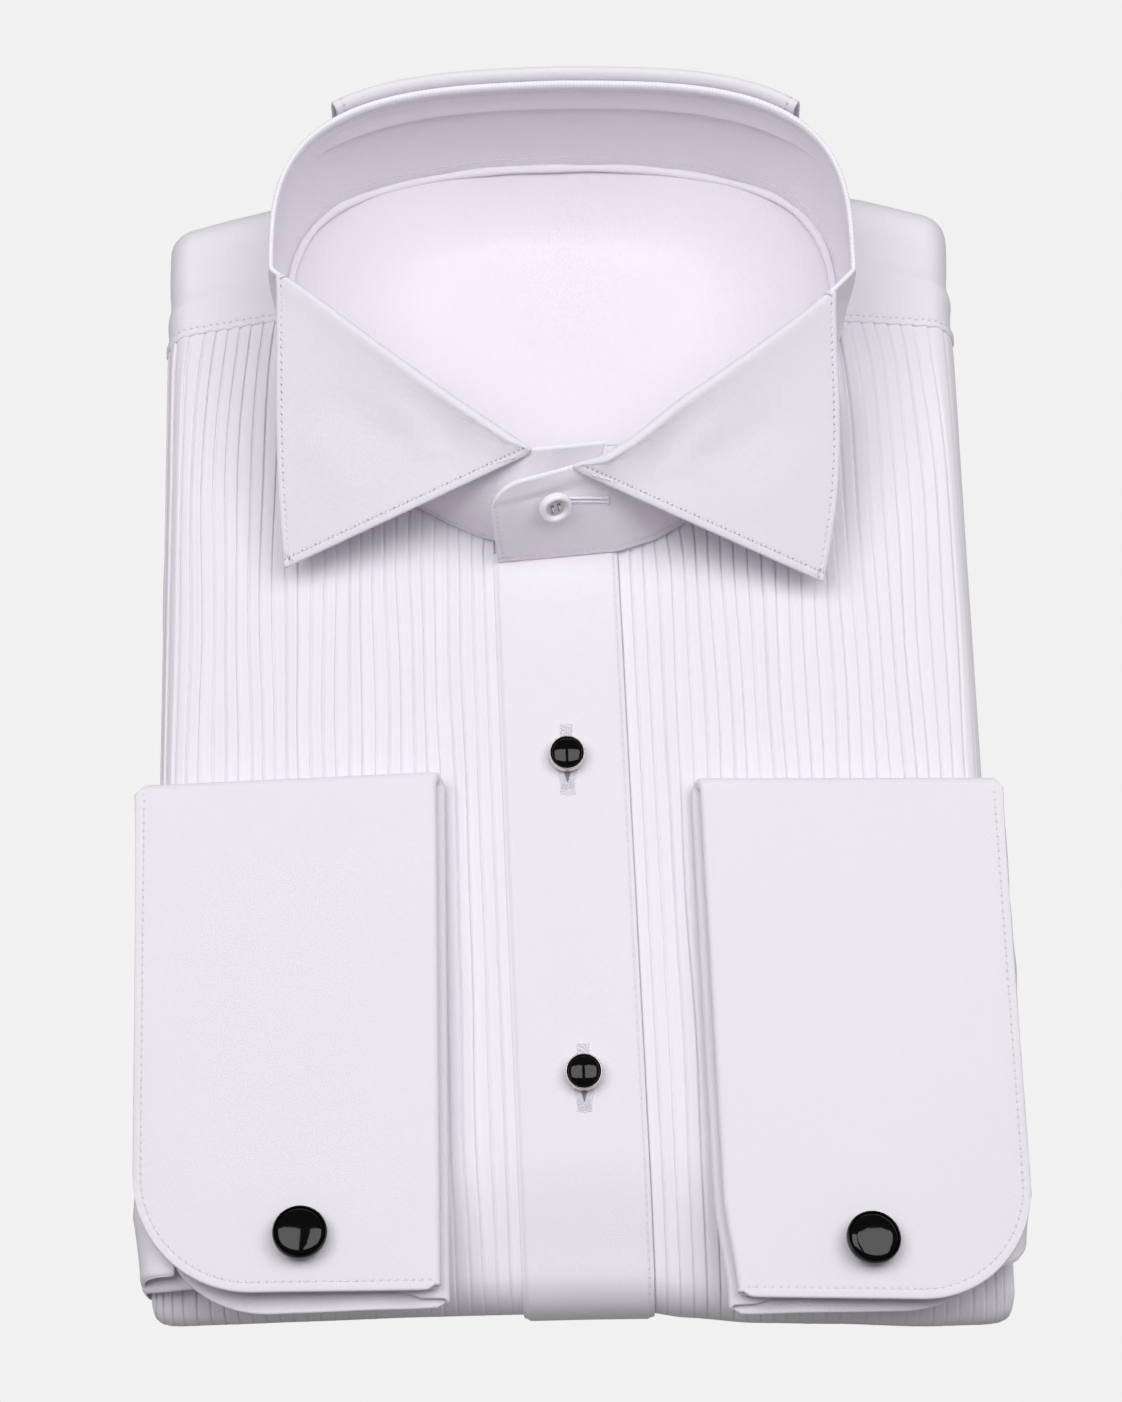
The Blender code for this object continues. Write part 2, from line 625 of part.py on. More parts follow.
def packet_core(material):
    """The hidden layers as one rounded solid: flat below, layered edges, hollow under the neck."""
    edge = core_outline()
    low, high = edge[:, 1].min(), edge[:, 1].max()

    def inset(amount):
        x = skin(edge[:, 0], 100.0)[:, 0]
        near = near_edge(x) + NEAR_ROLL - NEAR_ARC
        far = far_edge(x) - FAR_ROLL + ROLL_ARC
        v = mix(near, far, (edge[:, 1] - low) / (high - low))
        u = np.clip(edge[:, 0], -U_END + amount, U_END - amount)
        v = np.clip(v, near + amount, far - amount)
        return u, v

    u0, v0 = inset(0.0)
    foot = skin(u0, v0)
    out = np.roll(foot, -1, axis=0) - np.roll(foot, 1, axis=0)
    out = np.stack([out[:, 1], -out[:, 0]], -1)
    out /= np.linalg.norm(out, axis=-1, keepdims=True)
    at_near_end = foot[:, 1] < near_edge(foot[:, 0]) + NEAR_ROLL + 0.4
    rings = []
    for reach, lowest, highest in LAYERS:
        soft = (highest - lowest) * 0.3
        steps = ((lowest, 0.9), (lowest + soft, 0.0), (highest - soft, 0.0), (highest, 1.8))
        for height, back in steps:
            near_move = -GAP - 0.15 - 0.3 * max(height - 6.0, 0.0)
            move = np.where(at_near_end, near_move, reach - back)
            plan = foot[:, :2] + out * move[:, None]
            rings.append(np.concatenate([plan, np.full((len(plan), 1), height)], -1))
    for amount, below in ((1.0, 1.5), (5.0, 2.2), (9.0, 2.6), (13.0, 2.4), (18.0, 1.7)):
        u, v = inset(amount)
        rings.append(lifted(u, v, np.full(u.shape, -below)))
    rim = rings[-1][:, :2]
    # the neck seam's point in the same direction from the neck's middle as each point of the rim
    wanted = np.mod(np.arctan2(-rim[:, 0], NECK_Y - rim[:, 1]), 2.0 * math.pi)
    loop = neck_seam(np.linspace(0.0, 1.0, 721))
    loop_angle = np.mod(np.arctan2(-loop[:, 0], NECK_Y - loop[:, 1]) + 1e-9, 2.0 * math.pi)
    order = np.argsort(loop_angle)
    angles, loop = loop_angle[order], loop[order]
    seam = np.stack([np.interp(wanted, angles, loop[:, k], period=2.0 * math.pi) for k in (0, 1)], -1)
    for share in (0.4, 0.8, 1.0):
        plan = mix(rim, mix(np.array([0.0, NECK_Y]), seam, 1.03), share)
        height = skin(plan[:, 0], plan[:, 1])[:, 2] - 0.5
        rings.append(np.concatenate([plan, height[:, None]], -1))
    for share in (1.0, 0.94, 0.87, 0.79, 0.71, 0.63, 0.55, 0.3):
        plan = mix(np.array([0.0, NECK_Y]), seam, share)
        height = basin(plan[:, 0], plan[:, 1]) - CLOTH - 1.5
        rings.append(np.concatenate([plan, height[:, None]], -1))
    count = len(edge)
    points = np.concatenate(rings)
    index = np.arange(len(points)).reshape(len(rings), count)
    closed = np.concatenate([index, index[:, :1]], axis=1)
    faces = [tuple(int(k) for k in face) for face in quads(closed)]
    faces.append(tuple(int(k) for k in index[0]))
    faces.append(tuple(int(k) for k in index[-1]))
    return add_mesh("packet_core", points, faces, material)


# ---------------------------------------------------------------- collar pieces


def collar_band(material):
    """The stand: one strip round the neck, its left end lapped over its right end."""
    under = BAND_END - UNDER_LENGTH / LOOP
    over = 1.0 - BAND_END + OVER_LENGTH / LOOP
    shares = np.concatenate([
        [under, under + 0.004],
        np.linspace(under + 0.02, 0.9, 34),
        [0.925, 0.95, 0.97, 0.985, 1.0, 1.015],
        over - np.array([1.0, 0.6, 0.3, 0.1, 0.0]) * END_CORNER / LOOP,
    ])
    from_end = (over - shares) * LOOP
    short = np.clip(1.0 - from_end / END_CORNER, 0.0, 1.0)
    cut = END_CORNER * (1.0 - np.sqrt(1.0 - short**2)) / 30.0
    up = np.array([0.0, 0.35, 0.7, 1.0])[:, None] * (1.0 - cut)[None, :]
    middle = band_point(shares[None, :], up)
    return thick_wall("collar_band", middle, STIFF_CLOTH, material)


def wing(side, material):
    """A front corner of the collar, folded out over the band's top edge and down to a tip."""
    first, last = WING_FOLD[side]
    across = np.linspace(0.0, 1.0, 10)
    share = mix(first, last, across)
    top = band_top(share)
    out = top - np.array([0.0, TOP_Y, 0.0])
    out[:, 2] = 0.0
    out /= np.linalg.norm(out, axis=-1, keepdims=True)
    up = np.array([0.0, 0.0, 1.0])
    end = top[-1] + out[-1] * WING_END + up * (1.0 - WING_END)
    edge = mix(np.array(WING_TIPS[side]), end, across[:, None])
    roll = np.minimum(WING_ROLL, 0.3 * np.linalg.norm(edge - top, axis=-1))[:, None]
    start = top + up * 2.0 * GAP
    crest = start + up * (0.4 + roll * 0.4) + out * roll * 0.35
    over = crest + out * roll * 0.9 - up * roll * 0.3
    rows = [start, start + up * 0.4, crest, over]
    for down in (0.12, 0.28, 0.46, 0.64, 0.82, 1.0):
        puff = WING_PUFF * math.sin(math.pi * down) * np.sin(math.pi * (0.15 + 0.7 * (1.0 - across)))
        wide = smooth((np.linalg.norm(edge - over, axis=-1) - 4.0) / 24.0)
        sag = WING_SAG * math.sin(math.pi * down**0.85) * wide
        row = mix(over, edge, down) + up * (puff * (1.0 - across) - sag)[:, None]
        row[:, 0] += WING_BOW[side] * math.sin(math.pi * down**1.3) * (1.0 - across) ** 3
        rows.append(row)
    return thick_wall("wing_" + side, np.stack(rows), STIFF_CLOTH, material)


def collar_fall(material):
    """The strip at the back, turned over behind the band's top edge."""
    share = np.linspace(*FALL_ENDS, 17)
    top = band_top(share)
    along = np.gradient(top[:, :2], axis=0)
    out = np.stack([along[:, 1], -along[:, 0]], -1) / np.linalg.norm(along, axis=-1, keepdims=True)
    if out[8, 1] < 0.0:
        out = -out
    rows = []
    for reach, rise in FALL_SECTION:
        plan = top[:, :2] + out * reach
        rows.append(np.concatenate([plan, (top[:, 2] + rise)[:, None]], -1))
    return thick_wall("collar_fall", np.stack(rows), CLOTH, material)


# ---------------------------------------------------------------- cuffs and sleeves


def cuff(side, material):
    """A double cuff: folded on itself across, then laid flat with its open ends to the near end."""
    size = CUFFS[side]
    sign = size["side"]
    turn = np.linspace(0.0, math.pi, 5)
    half_step = (CUFF_OUTER - CUFF_INNER) / 2.0
    middle = (CUFF_OUTER + CUFF_INNER) / 2.0
    width = abs(size["free_x"][0] - size["fold_x"][0])
    corner_legs = CUFF_CORNER * (1.0 - np.cos(np.linspace(0.0, math.pi / 2.0, 9)))
    outer_leg = np.concatenate([corner_legs, [56.0, width]]) / width
    inner_leg = np.array([0.9, 0.5, 0.145])
    # Columns across the cuff: share from the free edge to the fold, height from the middle, bulge
    share = np.concatenate([outer_leg[:-1], np.ones(5), inner_leg])
    height = [np.full(10, CUFF_OUTER), middle + half_step * np.cos(turn), np.full(3, CUFF_INNER)]
    height = np.concatenate(height)
    bulge = np.concatenate([np.zeros(10), half_step * np.sin(turn), np.zeros(3)])
    inner = np.concatenate([np.zeros(12), np.ones(6)])
    from_free = share * width
    corner = np.clip(1.0 - from_free / CUFF_CORNER, 0.0, 1.0) * (inner < 0.5)
    corner = CUFF_CORNER * (1.0 - np.sqrt(1.0 - corner**2))
    near_upper = mix(size["near_y"][1], size["near_y"][0], share) + corner
    near_upper = near_upper + inner * (size["inner_near_y"] - size["near_y"][0]) * (1.0 - share)
    near_lower = size["lower_near_y"] + 0.78 * corner + inner * (1.4 + 6.0 * (1.0 - share))
    far = mix(size["far_y"][1], size["far_y"][0], share)
    legs = np.array([0.0, 0.08, 0.2, 0.45, 0.72, 1.0])
    rows = []

    def place(along, y, rise, lower):
        free = mix(mix(*size["free_x"], along), size["lower_free_x"], lower)
        fold = mix(*size["fold_x"], along) - sign * LOWER_SHIFT * lower
        x = mix(free, fold, share) - sign * bulge
        mid = mix(size["mid_z"][1], size["mid_z"][0], share)
        rows.append(np.stack([x, y, mid + rise], -1))

    for leg in legs:
        place(leg, mix(near_upper, far - CUFF_OUTER, leg), height, 0.0)
    for angle in np.linspace(0.0, math.pi, 6)[1:-1]:
        lower = angle / math.pi
        place(1.0, far - CUFF_OUTER + height * math.sin(angle), height * math.cos(angle), lower)
    for leg in legs[::-1]:
        place(leg, mix(near_lower, far - CUFF_OUTER, leg), -height, 1.0)
    return thick_wall("cuff_" + side, np.stack(rows), CUFF_WALL, material)


def sleeve(side, material):
    """The flattened end of a sleeve: out of the cuff, round the packet's side and under its edge."""
    sign = 1.0 if side == "left" else -1.0
    near, far = SLEEVE_Y[side]
    path = np.array(SLEEVE_PATH)
    way = np.gradient(path, axis=0)
    across = np.stack([-way[:, 1], way[:, 0]], -1) / np.linalg.norm(way, axis=-1, keepdims=True)
    ends = np.array([0.0, 0.6, 1.6, 3.5])
    y = np.concatenate([near + ends, [mix(near, far, 0.35), mix(near, far, 0.65)], far - ends[::-1]])
    from_end = np.minimum(y - near, far - y)
    rounded = np.sqrt(1.0 - (1.0 - np.clip(from_end / 1.6, 0.0, 1.0)) ** 2 * 0.9)
    full = smooth((path[:, 1] - 2.0) / 12.0)[:, None] * smooth((y - near) / 20.0)[None, :]
    depth = mix(SLEEVE_THIN, SLEEVE_CLOTH, full) * rounded
    slant = SLEEVE_SLANT * (path[0, 1] - path[:, 1])[:, None] * np.where(y < mix(near, far, 0.5), 1.0, -0.5)
    slant = slant * np.clip(1.0 - from_end / 30.0, 0.0, 1.0)
    sides = []
    for face in (1.0, 0.0):
        plan = path[:, None, :] + face * across[:, None, :] * depth[..., None]
        sides.append(np.stack([sign * plan[..., 0], y + slant, plan[..., 1]], -1))
    return wall("sleeve_" + side, sides[0], sides[1], material)


# ---------------------------------------------------------------- hardware


def studs(metal, black):
    """Two shirt studs: a bright rim with a domed black face, standing on the placket."""
    wall_up = ((0, 0), (4.1, 0), (STUD_RADIUS, 0.8), (STUD_RADIUS, 2.8), (4.75, 3.2))
    cup = wall_up + ((4.45, 2.8), (4.4, 1.9), (0, 1.9))
    face = ((0, 2.2), (3.8, 2.2), (4.1, 2.6), (3.5, 3.2), (2.0, 3.7), (0, 3.9))
    for name, (x, y) in STUDS.items():
        seat = lifted(np.array(x), np.array(y), np.array(PLACKET_LIFT + PLACKET_CLOTH + GAP))
        axis = skin_normal(np.array(x), np.array(y))
        turned("stud_" + name + "_rim", cup, seat, axis, metal)
        turned("stud_" + name + "_face", face, seat, axis, black)


def cufflinks(metal, black):
    """Two cufflinks: a round case on a short post, leaning a little, with a black face."""
    case = (
        (0, -1.5), (2.0, -1.5), (2.0, 0.0), (6.4, 0.2), (LINK_RADIUS, 0.9),
        (LINK_RADIUS, 2.2), (6.75, 2.5), (6.5, 2.1), (6.45, 1.2), (0, 1.2),
    )
    face = ((0, 1.5), (5.9, 1.5), (6.15, 1.9), (5.6, 2.5), (3.4, 2.85), (0, 3.0))
    for side, (x, y, back, right) in LINKS.items():
        size = CUFFS[side]
        share = (abs(size["free_x"][0]) - abs(x)) / abs(size["free_x"][0] - size["fold_x"][0])
        top = mix(size["mid_z"][1], size["mid_z"][0], share) + CUFF_OUTER + CUFF_WALL / 2.0
        axis = (math.sin(math.radians(right)), math.sin(math.radians(back)), 1.0)
        place = (x, y, top + 2.2)
        turned("cufflink_" + side + "_case", case, place, axis, metal)
        turned("cufflink_" + side + "_face", face, place, axis, black)


def collar_button(material):
    """The button that closes the band: four holes in a sunk middle, on the left end."""
    share, up = BUTTON_AT
    step = 0.01
    here = band_point(np.array(share), np.array(up))
    along = band_point(np.array(share + step), np.array(up)) - here
    rise = band_point(np.array(share), np.array(up + step)) - here
    outward = np.cross(along, rise)
    outward /= -np.linalg.norm(outward) * np.sign(outward[1])
    axis = np.array(BUTTON_AXIS)
    place = here + outward * (STIFF_CLOTH / 2.0 + BUTTON_SHANK)
    body = (
        (0, 0), (3.7, 0), (BUTTON_RADIUS - 0.1, 0.8), (BUTTON_RADIUS, 2.3), (4.2, 2.9),
        (3.4, 2.8), (2.9, 2.2), (0, 2.1),
    )
    button = turned("collar_button", body, place, axis, material, 24)
    hole = ((0, -1.0), (HOLE_RADIUS, -1.0), (HOLE_RADIUS, 4.0), (0, 4.0))
    for k in range(4):
        x = HOLE_OFFSET * (1 if k % 2 else -1)
        y = HOLE_OFFSET * (1 if k > 1 else -1)
        cutter = turned("button_hole_%d" % k, hole, place, axis, material, 8)
        cutter.location = button.location + button.rotation_quaternion @ Vector((x * MM, y * MM, 0.0))
        cutter.hide_render = True
        cutter.display_type = "WIRE"
        cut = button.modifiers.new("hole_%d" % k, "BOOLEAN")
        cut.operation = "DIFFERENCE"
        cut.object = cutter


def main():
    clear_scene()
    cotton = finish_material("white_cotton", COTTON, 0.85)
    black = finish_material("black_face", BLACK, 0.08)
    silver = finish_material("silver_rim", SILVER, 0.22, 1.0)
    case = finish_material("dark_case", DARK_METAL, 0.3, 1.0)
    pearl = finish_material("button_white", BUTTON_WHITE, 0.3)
    packet_core(cotton)
    inside_of_neck(cotton)
    yoke(cotton)
    placket(cotton)
    collar_band(cotton)
    collar_fall(cotton)
    for side in ("left", "right"):
        front_panel(side, cotton)
        wing(side, cotton)
        cuff(side, cotton)
        sleeve(side, cotton)
    studs(silver, black)
    cufflinks(case, black)
    collar_button(pearl)


main()
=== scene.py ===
import math

import bpy
import numpy as np
from mathutils import Matrix


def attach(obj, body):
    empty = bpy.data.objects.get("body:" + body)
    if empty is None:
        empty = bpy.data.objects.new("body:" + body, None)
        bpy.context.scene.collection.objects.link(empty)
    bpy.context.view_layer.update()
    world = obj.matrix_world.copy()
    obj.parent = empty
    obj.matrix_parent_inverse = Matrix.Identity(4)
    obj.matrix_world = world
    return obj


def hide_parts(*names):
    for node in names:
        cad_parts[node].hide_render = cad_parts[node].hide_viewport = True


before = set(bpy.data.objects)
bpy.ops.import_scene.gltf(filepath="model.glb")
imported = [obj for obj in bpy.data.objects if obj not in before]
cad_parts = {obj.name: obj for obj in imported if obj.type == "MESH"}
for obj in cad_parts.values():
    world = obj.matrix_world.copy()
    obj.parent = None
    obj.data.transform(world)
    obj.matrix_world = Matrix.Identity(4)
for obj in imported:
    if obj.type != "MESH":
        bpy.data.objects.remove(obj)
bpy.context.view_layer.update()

print("frame: %d nodes" % len(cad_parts))

# Lengths are in millimetres, y runs from the near end's edge to the collar, x to the wearer's left.
# toFrame turns them into metres about the middle of the box.
packet = {
    "middleY": 171.53,
    "halfFlat": 106.0,        # centre line to the start of a side roll
    "sideRoll": 6.7,
    "endRoll": 9.0,           # reach of the far end's roll
    "rollArc": 14.0,          # cloth that goes round a roll
    "nearRoll": (6.5, 15.5, 5.0),    # near end: reach, cloth round it, how far it ends below the side folds
    "droop": (8.0, 42.0),     # the top sinks towards the near end: how far, over what length
    "rightIn": 1.0,           # the left-hand side as worn is this much narrower
    "sideTurn": math.radians(88.5),
    "cornerPower": 0.28,
    "sideFoldZ": 11.0,        # height where the side rolls tuck in
    "crest": (22.5, 25.0),    # height of the skin at the near end, and from the neck on
    "crown": 2.8,
    "crownPower": 2.4,
    "nearLine": (
        # the near end's edge in plan, drawn in at the placket: x, y
        (-113.0, 2.6), (-95.0, 2.9), (-72.0, 3.3), (-45.0, 3.8), (-24.0, 3.9), (0.0, 4.0), (16.0, 3.9),
        (27.0, 2.2), (45.0, 0.4), (66.0, -0.3), (90.0, -1.5), (113.0, -1.3),
    ),
    "farEdge": 343.7,
    "shoulder": (0.26, 20.0),        # slope of the far end, and its rounding on the centre line
    "gap": 0.35,
}
uEnd = packet["halfFlat"] + packet["rollArc"]      # u where the cloth ends below a side roll

# the seam between the body and the band, an oval about y, squarer behind than in front
neck = {
    "half": 80.0,
    "y": 286.0,
    "back": 49.0,
    "front": 74.5,
    "powers": (2.9, 1.7),
    "seamY": {"left": 284.2, "right": 288.0},     # yoke seams
    "seamFall": {"left": 2.4, "right": 5.6},
}


def toFrame(points):
    # metres about the middle of the box
    return (np.asarray(points, float) - (0.0, packet["middleY"], 0.0)) * 0.001


def smooth(t):
    # 0 to 1 with level ends: 3 t squared less 2 t cubed
    t = np.clip(t, 0.0, 1.0)
    return t * t * (3.0 - 2.0 * t)


def mix(a, b, share):
    # a where share is 0, b where it is 1
    return a + (b - a) * share


def hump(t):
    # a soft bell, 1 at t = 0
    return np.exp(-t * t)


def unit(vectors):
    # each vector over its length
    return vectors / np.maximum(np.linalg.norm(vectors, axis=-1, keepdims=True), 1e-12)


def gridFaces(index):
    # quads of a grid of vertex numbers
    return np.stack([index[:-1, :-1], index[:-1, 1:], index[1:, 1:], index[1:, :-1]], -1).reshape(-1, 4)


def putMesh(name, points, faceSets, material, maps=None):
    # one mesh from points in millimetres and arrays of faces, each array with as many corners a face
    points = toFrame(points)
    corners = np.concatenate([np.asarray(faces).ravel() for faces in faceSets]).astype(np.int32)
    sizes = np.concatenate([np.full(len(faces), np.shape(faces)[1]) for faces in faceSets]).astype(np.int32)
    starts = np.concatenate([[0], np.cumsum(sizes)[:-1]]).astype(np.int32)
    mesh = bpy.data.meshes.new(name)
    mesh.vertices.add(len(points))
    mesh.vertices.foreach_set("co", points.astype(np.float32).ravel())
    mesh.loops.add(len(corners))
    mesh.loops.foreach_set("vertex_index", corners)
    mesh.polygons.add(len(sizes))
    mesh.polygons.foreach_set("loop_start", starts)
    mesh.polygons.foreach_set("loop_total", sizes)
    mesh.update(calc_edges=True)
    for mapName, values in (maps or {}).items():
        layer = mesh.uv_layers.new(name=mapName)
        layer.data.foreach_set("uv", values[corners].astype(np.float32).ravel())
    mesh.validate()
    mesh.shade_smooth()
    mesh.materials.append(material)
    piece = bpy.data.objects.new(name, mesh)
    bpy.context.scene.collection.objects.link(piece)
    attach(piece, "root")
    return piece


def outwards(points, faceSets):
    # the volume is the sum of the tetrahedra from the faces to the origin: if it is negative, every face turns
    total = 0.0
    for faces in faceSets:
        a = points[faces[:, 0]]
        for k in range(1, faces.shape[1] - 1):
            total += np.einsum("ij,ij->", a, np.cross(points[faces[:, k]], points[faces[:, k + 1]]))
    return faceSets if total > 0.0 else [faces[:, ::-1] for faces in faceSets]


def gridNormals(grid):
    # square to the steps along a grid's rows and down its columns
    return unit(np.cross(np.gradient(grid, axis=1), np.gradient(grid, axis=0)))


def lengths(line):
    # distance along a row of points
    return np.concatenate([[0.0], np.cumsum(np.linalg.norm(np.diff(line, axis=0), axis=1))])


def facing(normals, way):
    # the same normals, turned round if they point away from a direction on the whole
    return normals * np.sign(np.sum(normals * way, -1).mean())


def pickAt(line, along, at):
    # points of a line at given distances along it, straight between its own
    return np.stack([np.interp(at, along, line[:, k]) for k in range(line.shape[1])], -1)


farFromSeam = 99.0        # mm, where there are no needle holes


def noSeam(count):
    # the seam map of cloth without stitches
    return np.tile([0.0, farFromSeam], (count, 1))


def closerSeam(alongFirst, fromFirst, alongOther, fromOther, seamAt, pitch):
    # the seam map beside two seams: the stitch count along the closer one, and the distance from it
    closer = np.abs(fromFirst - seamAt) < np.abs(fromOther - seamAt)
    count = np.where(closer, alongFirst, alongOther) / pitch
    return np.stack([count, np.where(closer, fromFirst, fromOther) - seamAt], -1)


def closedSheet(name, upper, lower, cloth, material, seam=None):
    # Two grids of points joined along their four edges by a rim, half a circle in section. cloth holds each
    # point's place on the flat cloth in mm, and seam the stitch count along a seam and the distance from it.
    rows, columns = upper.shape[:2]
    index = np.arange(rows * columns).reshape(rows, columns)
    ring = np.concatenate([index[0, :-1], index[:-1, -1], index[-1, :0:-1], index[:0:-1, 0]])
    i, j = np.divmod(ring, columns)
    middle = (upper + lower) / 2.0
    edge = middle[i, j]
    half = (upper[i, j] - lower[i, j]) / 2.0
    reach = np.linalg.norm(half, axis=-1, keepdims=True)
    out = edge - middle[np.clip(i, 1, rows - 2), np.clip(j, 1, columns - 2)]
    out = unit(out - half * (np.sum(out * half, -1, keepdims=True) / np.maximum(reach, 1e-9) ** 2))
    turn = np.radians([35.0, 70.0, 110.0, 145.0])[:, None, None]
    rim = edge + half * np.cos(turn) + out * reach * np.sin(turn)
    size, count, steps = rows * columns, len(ring), len(turn)
    points = np.concatenate([upper.reshape(-1, 3), lower.reshape(-1, 3), rim.reshape(-1, 3)])
    belts = [ring] + [2 * size + k * count + np.arange(count) for k in range(steps)] + [size + ring]
    belts = np.stack(belts)
    belts = np.concatenate([belts, belts[:, :1]], axis=1)
    faceSets = [gridFaces(index), size + gridFaces(index)[:, ::-1], gridFaces(belts)[:, ::-1]]
    flat = np.asarray(cloth, float).reshape(-1, 2) * 0.001
    maps = {"cloth": np.concatenate([flat, flat, np.tile(flat[ring], (steps, 1))])}
    face = noSeam(size) if seam is None else np.asarray(seam, float).reshape(-1, 2)
    maps["seam"] = np.concatenate([face, noSeam(size + steps * count)])
    return putMesh(name, points, outwards(points, faceSets), material, maps)


def flatCloth(grid):
    # place on the flat cloth of each point of a grid: lengths along its rows and columns
    across = np.linalg.norm(np.diff(grid, axis=1), axis=-1)
    along = np.linalg.norm(np.diff(grid, axis=0), axis=-1)
    x = np.concatenate([np.zeros((grid.shape[0], 1)), np.cumsum(across, axis=1)], axis=1)
    y = np.concatenate([np.zeros((1, grid.shape[1])), np.cumsum(along, axis=0)], axis=0)
    return np.stack([x, y], -1)


def tubeFaces(rows, sides):
    # the faces of rings of points whose two end points come before them: quads round it, and a fan at each end
    index = 2 + np.arange(rows * sides).reshape(rows, sides)
    index = np.concatenate([index, index[:, :1]], axis=1)
    first = np.stack([np.zeros(sides, int), index[0, 1:], index[0, :-1]], -1)
    last = np.stack([np.ones(sides, int), index[-1, :-1], index[-1, 1:]], -1)
    return [gridFaces(index), first, last]


def turnedParts(profile, place, axis, steps):
    # Points and faces of a turned solid: each (radius, height) of the profile carried round the axis.
    # The first and the last point lie on the axis.
    profile = np.asarray(profile, float)
    axis = unit(np.asarray(axis, float))
    side = unit(np.cross(axis, (0.0, 1.0, 0.0)))
    other = np.cross(axis, side)
    turn = np.arange(steps) * 2.0 * math.pi / steps
    circle = np.cos(turn)[:, None] * side + np.sin(turn)[:, None] * other
    rings = profile[1:-1, 0, None, None] * circle + profile[1:-1, 1, None, None] * axis
    ends = profile[[0, -1], 1][:, None] * axis
    points = np.concatenate([ends, rings.reshape(-1, 3)]) + np.asarray(place, float)
    return points, outwards(points - points[0], tubeFaces(len(profile) - 2, steps))


def sweptParts(path, across, upwards, sides):
    # a soft roll: an oval, with its half width and half height at each point, carried along a path
    ahead = unit(np.gradient(path, axis=0))
    side = unit(np.cross(ahead, (0.0, 0.0, 1.0)))
    above = np.cross(side, ahead)
    turn = np.arange(sides) * 2.0 * math.pi / sides
    rings = path[:, None] + (np.cos(turn)[None, :, None] * side[:, None] * across[:, None, None]
                             + np.sin(turn)[None, :, None] * above[:, None] * upwards[:, None, None])
    points = np.concatenate([path[[0, -1]], rings.reshape(-1, 3)])
    return points, outwards(points - points[0], tubeFaces(len(path), sides))


def rounded(profile, times=2, cut=0.22):
    # cuts each corner of a profile, which rounds it: two points at a share of the way along each side
    line = np.asarray(profile, float)
    for _ in range(times):
        a = mix(line[:-1], line[1:], cut)
        b = mix(line[:-1], line[1:], 1.0 - cut)
        line = np.concatenate([line[:1], np.stack([a, b], 1).reshape(-1, 2)[1:-1], line[-1:]])
    return line


def joined(parts):
    # several (points, faceSets) as one
    points = np.concatenate([part[0] for part in parts])
    shifts = np.cumsum([0] + [len(part[0]) for part in parts[:-1]])
    faceSets = [faces + shift for part, shift in zip(parts, shifts) for faces in part[1]]
    return points, faceSets


def addNode(tree, kind, settings=None, **inputs):
    # a node, with its properties from settings and its inputs by name, a value or another node's output
    node = tree.nodes.new(kind)
    for key, value in (settings or {}).items():
        setattr(node, key, value)
    for key, value in inputs.items():
        socket = node.inputs[int(key[1:])] if key[0] == "i" and key[1:].isdigit() else node.inputs[key]
        if isinstance(value, bpy.types.NodeSocket):
            tree.links.new(value, socket)
        else:
            socket.default_value = value
    return node


def maths(tree, operation, *values):
    # a Math node's output, with its inputs in order
    node = tree.nodes.new("ShaderNodeMath")
    node.operation = operation
    for socket, value in zip(node.inputs, values):
        if isinstance(value, bpy.types.NodeSocket):
            tree.links.new(value, socket)
        else:
            socket.default_value = value
    return node.outputs[0]


def nearZero(tree, value, full, gone):
    # 1 up to the value full, and 0 from the value gone on
    return addNode(tree, "ShaderNodeMapRange", {"interpolation_type": "SMOOTHSTEP"},
                   i0=value, i1=full, i2=gone, i3=1.0, i4=0.0).outputs[0]


def emptyMaterial(name):
    # a material with its node tree and its shader
    material = bpy.data.materials.new(name)
    material.use_nodes = True
    tree = material.node_tree
    return material, tree, tree.nodes["Principled BSDF"]


